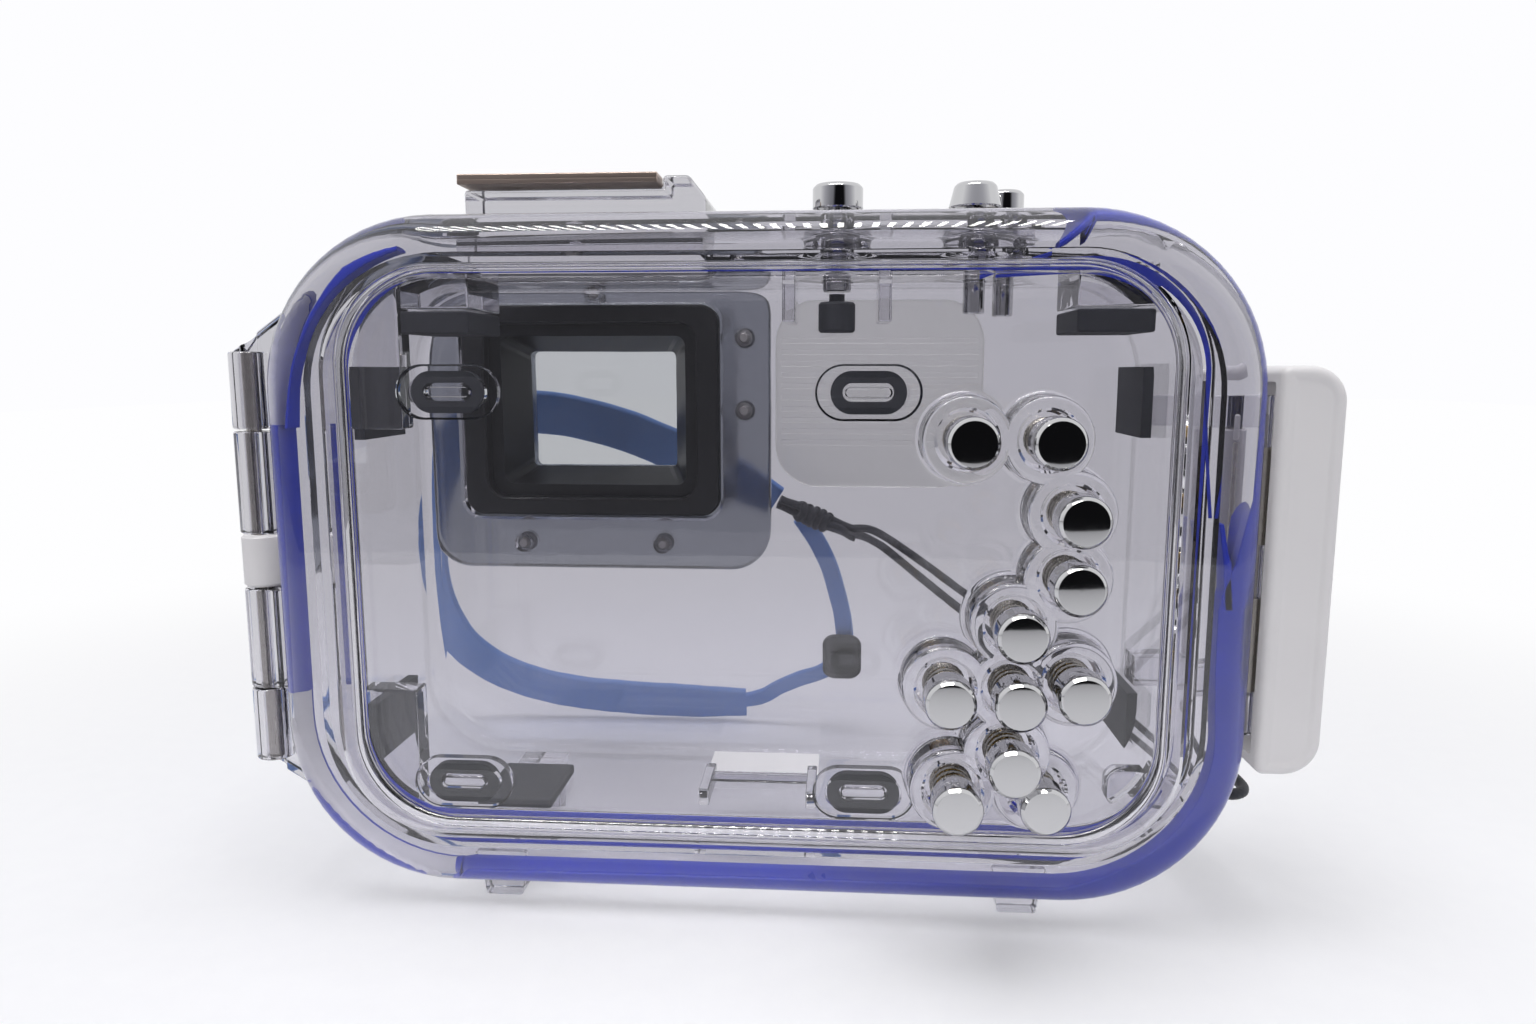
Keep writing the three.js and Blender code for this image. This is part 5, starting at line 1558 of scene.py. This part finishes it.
def paper():
    material, tree = new_material("seamless_paper")
    place = add_node(tree, "ShaderNodeTexCoord").outputs["Object"]
    grain = add_node(
        tree, "ShaderNodeTexNoise", {"Scale": per_mm(4.0), "Detail": 2.0}, {"Vector": place}
    )
    tone = add_node(
        tree,
        "ShaderNodeMix",
        {"data_type": "RGBA", MIX_FIRST: linear("#EFEFF3"), MIX_SECOND: linear("#F3F3F6")},
        {0: grain.outputs[0]},
    )
    # Painted shade: towards the camera the paper's colour is darkened to half, so the low caps
    # mirror a shaded floor
    depth = add_node(tree, "ShaderNodeSeparateXYZ", links={0: place}).outputs["Y"]
    front = add_node(
        tree,
        "ShaderNodeMapRange",
        {"From Min": -0.3, "From Max": -0.06, "To Min": 0.5, "To Max": 1.0},
        {"Value": depth},
    )
    shade_painted_tone = add_node(
        tree,
        "ShaderNodeVectorMath",
        {"operation": "SCALE"},
        {0: tone.outputs[MIX_COLOUR], "Scale": front.outputs[0]},
    )
    matt = add_node(
        tree, "ShaderNodeBsdfPrincipled", {"Roughness": 0.6}, {"Base Color": shade_painted_tone.outputs[0]}
    )
    rays = add_node(tree, "ShaderNodeLightPath").outputs
    through = add_node(
        tree,
        "ShaderNodeMapRange",
        {"To Min": 1.0, "To Max": SEEN_THROUGH},
        {"Value": rays["Is Transmission Ray"]},
    )
    white = add_node(
        tree,
        "ShaderNodeEmission",
        {"Color": linear("#FEFEFF")},
        {"Strength": through.outputs[0]},
    )
    distance = add_node(tree, "ShaderNodeVectorMath", {"operation": "LENGTH"}, {0: place})
    far = add_node(
        tree,
        "ShaderNodeMapRange",
        {
            "interpolation_type": "SMOOTHSTEP",
            "From Min": 0.05,
            "From Max": 0.3,
            "To Min": 0.12,
            "To Max": 1.0,
        },
        {"Value": distance.outputs["Value"]},
    )
    seen = add_node(
        tree,
        "ShaderNodeMath",
        {"operation": "MAXIMUM"},
        {0: rays["Is Camera Ray"], 1: rays["Is Transmission Ray"]},
    )
    share = add_node(
        tree, "ShaderNodeMath", {"operation": "MULTIPLY"}, {0: seen.outputs[0], 1: far.outputs[0]}
    )
    mix = add_node(
        tree,
        "ShaderNodeMixShader",
        links={0: share.outputs[0], 1: matt.outputs[0], 2: white.outputs[0]},
    )
    add_node(tree, "ShaderNodeOutputMaterial", links={"Surface": mix.outputs[0]})
    return material

# %% [markdown]
# The floor is one flat sheet. It reaches far back and ends a little behind the camera, so that
# the caps mirror more room than paper.

# %% Floor
FLOOR_NEAR, FLOOR_FAR, FLOOR_SIDE = -300, 2600, 1500
floor_mesh = bmesh.new()
bmesh.ops.create_grid(floor_mesh, x_segments=8, y_segments=8, size=1)
for vert in floor_mesh.verts:
    vert.co.x *= FLOOR_SIDE * MM
    vert.co.y = (FLOOR_NEAR + (vert.co.y + 1) / 2 * (FLOOR_FAR - FLOOR_NEAR)) * MM
floor = as_object("paper_floor", floor_mesh)
floor.data.materials.append(paper())
print("floor faces", len(floor.data.polygons))

# %% [markdown]
# A picture of a studio could light the housing, but nothing is read from disk. Here the world
# is painted by direction instead: white where the wall is, grey behind the camera.

# %% World: a bright wall in front, a greyer room behind
WALL = (0.0, 1.0, 0.5)

world = bpy.data.worlds.new("studio")
world.use_nodes = True
world.node_tree.nodes.clear()
bpy.context.scene.world = world
sky = world.node_tree
direction = add_node(sky, "ShaderNodeTexCoord").outputs["Generated"]
rays = add_node(sky, "ShaderNodeLightPath").outputs
towards_wall = add_node(
    sky, "ShaderNodeVectorMath", {"operation": "DOT_PRODUCT", 1: WALL}, {0: direction}
)
wall_share = add_node(
    sky,
    "ShaderNodeMapRange",
    {"From Min": -1.0, "From Max": 1.0},
    {"Value": towards_wall.outputs["Value"]},
)
room = add_node(sky, "ShaderNodeValToRGB", links={0: wall_share.outputs[0]})
tones = room.color_ramp.elements
tones.new(0.3)
for tone, place, code in zip(tones, (0.05, 0.3, 0.52), ("#77777E", "#BFBFC6", "#FDFDFF")):
    tone.position = place
    tone.color = linear(code)
print("tones of the room", len(tones))

# %% [markdown]
# The dark end of the room is seen by mirrors only. So it is taken off again for rays that come
# straight from the camera, and for those that have gone through the plastic.

# %% The dark end of the room
DARK_END = (0.13, -0.99, -0.03)
towards_dark_end = add_node(
    sky, "ShaderNodeVectorMath", {"operation": "DOT_PRODUCT", 1: DARK_END}, {0: direction}
)
near_dark_end = add_node(
    sky,
    "ShaderNodeMapRange",
    {"interpolation_type": "SMOOTHSTEP", "From Min": 0.84, "From Max": 0.93},
    {"Value": towards_dark_end.outputs["Value"]},
)
straight = add_node(
    sky,
    "ShaderNodeMath",
    {"operation": "MAXIMUM"},
    {0: rays["Is Camera Ray"], 1: rays["Is Transmission Ray"]},
)
only_reflected = add_node(
    sky,
    "ShaderNodeMath",
    {"operation": "SUBTRACT", "use_clamp": True},
    {0: near_dark_end.outputs[0], 1: straight.outputs[0]},
)
mirrored_room = add_node(
    sky,
    "ShaderNodeMix",
    {"data_type": "RGBA", MIX_SECOND: linear("#141416")},
    {0: only_reflected.outputs[0], MIX_FIRST: room.outputs[0]},
)
print("dark end towards", DARK_END)

# %% [markdown]
# The camera sees plain white behind the housing, and rays through the plastic see the room some
# way towards white. Matt surfaces get less than half of its light, so that the soft boxes shape
# them.

# %% What each kind of ray sees
PALER_THROUGH = 0.3
SHARE_FOR_MATT = 0.4
paler = add_node(
    sky,
    "ShaderNodeMapRange",
    {"To Min": 0.0, "To Max": PALER_THROUGH},
    {"Value": rays["Is Transmission Ray"]},
)
whitened = add_node(
    sky, "ShaderNodeMath", {"operation": "MAXIMUM"}, {0: rays["Is Camera Ray"], 1: paler.outputs[0]}
)
seen_room = add_node(
    sky,
    "ShaderNodeMix",
    {"data_type": "RGBA", MIX_SECOND: linear("#FDFDFF")},
    {0: whitened.outputs[0], MIX_FIRST: mirrored_room.outputs[MIX_COLOUR]},
)
on_matt = add_node(
    sky,
    "ShaderNodeMapRange",
    {"To Min": 1.0, "To Max": SHARE_FOR_MATT},
    {"Value": rays["Is Diffuse Ray"]},
)
behind_plastic = add_node(
    sky,
    "ShaderNodeMapRange",
    {"To Min": 1.0, "To Max": SEEN_THROUGH},
    {"Value": rays["Is Transmission Ray"]},
)
strength = add_node(
    sky,
    "ShaderNodeMath",
    {"operation": "MULTIPLY"},
    {0: on_matt.outputs[0], 1: behind_plastic.outputs[0]},
)
air = add_node(
    sky,
    "ShaderNodeBackground",
    links={"Color": seen_room.outputs[MIX_COLOUR], "Strength": strength.outputs[0]},
)
add_node(sky, "ShaderNodeOutputWorld", links={"Surface": air.outputs[0]})
print("world nodes", len(sky.nodes))

# %% [markdown]
# Soft boxes above and beside the camera light the back of the housing. They are kept out of
# mirrors and out of the plastic, and a row of lamps overhead gives the beads of light along the
# rim.

# %% Lamps


def softbox(name, place, aim, width, height, power):
    lamp = bpy.data.lights.new(name, "AREA")
    lamp.shape = "RECTANGLE"
    lamp.size, lamp.size_y = width * MM, height * MM
    lamp.energy = power
    thing = bpy.data.objects.new(name, lamp)
    thing.location = at(*place)
    thing.rotation_euler = (at(*aim) - at(*place)).to_track_quat("-Z", "Y").to_euler()
    thing.visible_glossy = False
    thing.visible_transmission = False
    bpy.context.scene.collection.objects.link(thing)
    return thing


softbox("overhead", (0, -40, 520), (0, 10, 40), 400, 260, 1.65)
softbox("left_front", (-380, -420, 260), (0, 0, 50), 300, 300, 0.85)
softbox("right_front", (420, -380, 260), (0, 0, 50), 300, 300, 0.8)
print("soft boxes", len(bpy.data.lights))

# %% [markdown]
# The bars are plain bright faces in one mesh. Real lamps would also light the floor, and these
# are hidden from diffuse and shadow rays, so they only glitter.

# %% Light bars, seen only in mirrors and through the plastic
BAR_PITCH, BAR_WIDTH = 10.0, 4.0
BAR_NEAR, BAR_FAR, BAR_HEIGHT = -250, -100, 560


def bar_light():
    material, tree = new_material("light_bar")
    glow = add_node(tree, "ShaderNodeEmission", {"Color": linear("#FFFDF8"), "Strength": 22.0})
    add_node(tree, "ShaderNodeOutputMaterial", links={"Surface": glow.outputs[0]})
    return material


bars = bmesh.new()
for k in range(-26, 15):
    left, right = k * BAR_PITCH, k * BAR_PITCH + BAR_WIDTH
    corners = [(left, BAR_NEAR), (right, BAR_NEAR), (right, BAR_FAR), (left, BAR_FAR)]
    bars.faces.new([bars.verts.new(at(x, y, BAR_HEIGHT)) for x, y in corners])
light_bars = as_object("light_bars", bars)
light_bars.data.materials.append(bar_light())
light_bars.visible_diffuse = False
light_bars.visible_shadow = False
print("light bars", len(light_bars.data.polygons))
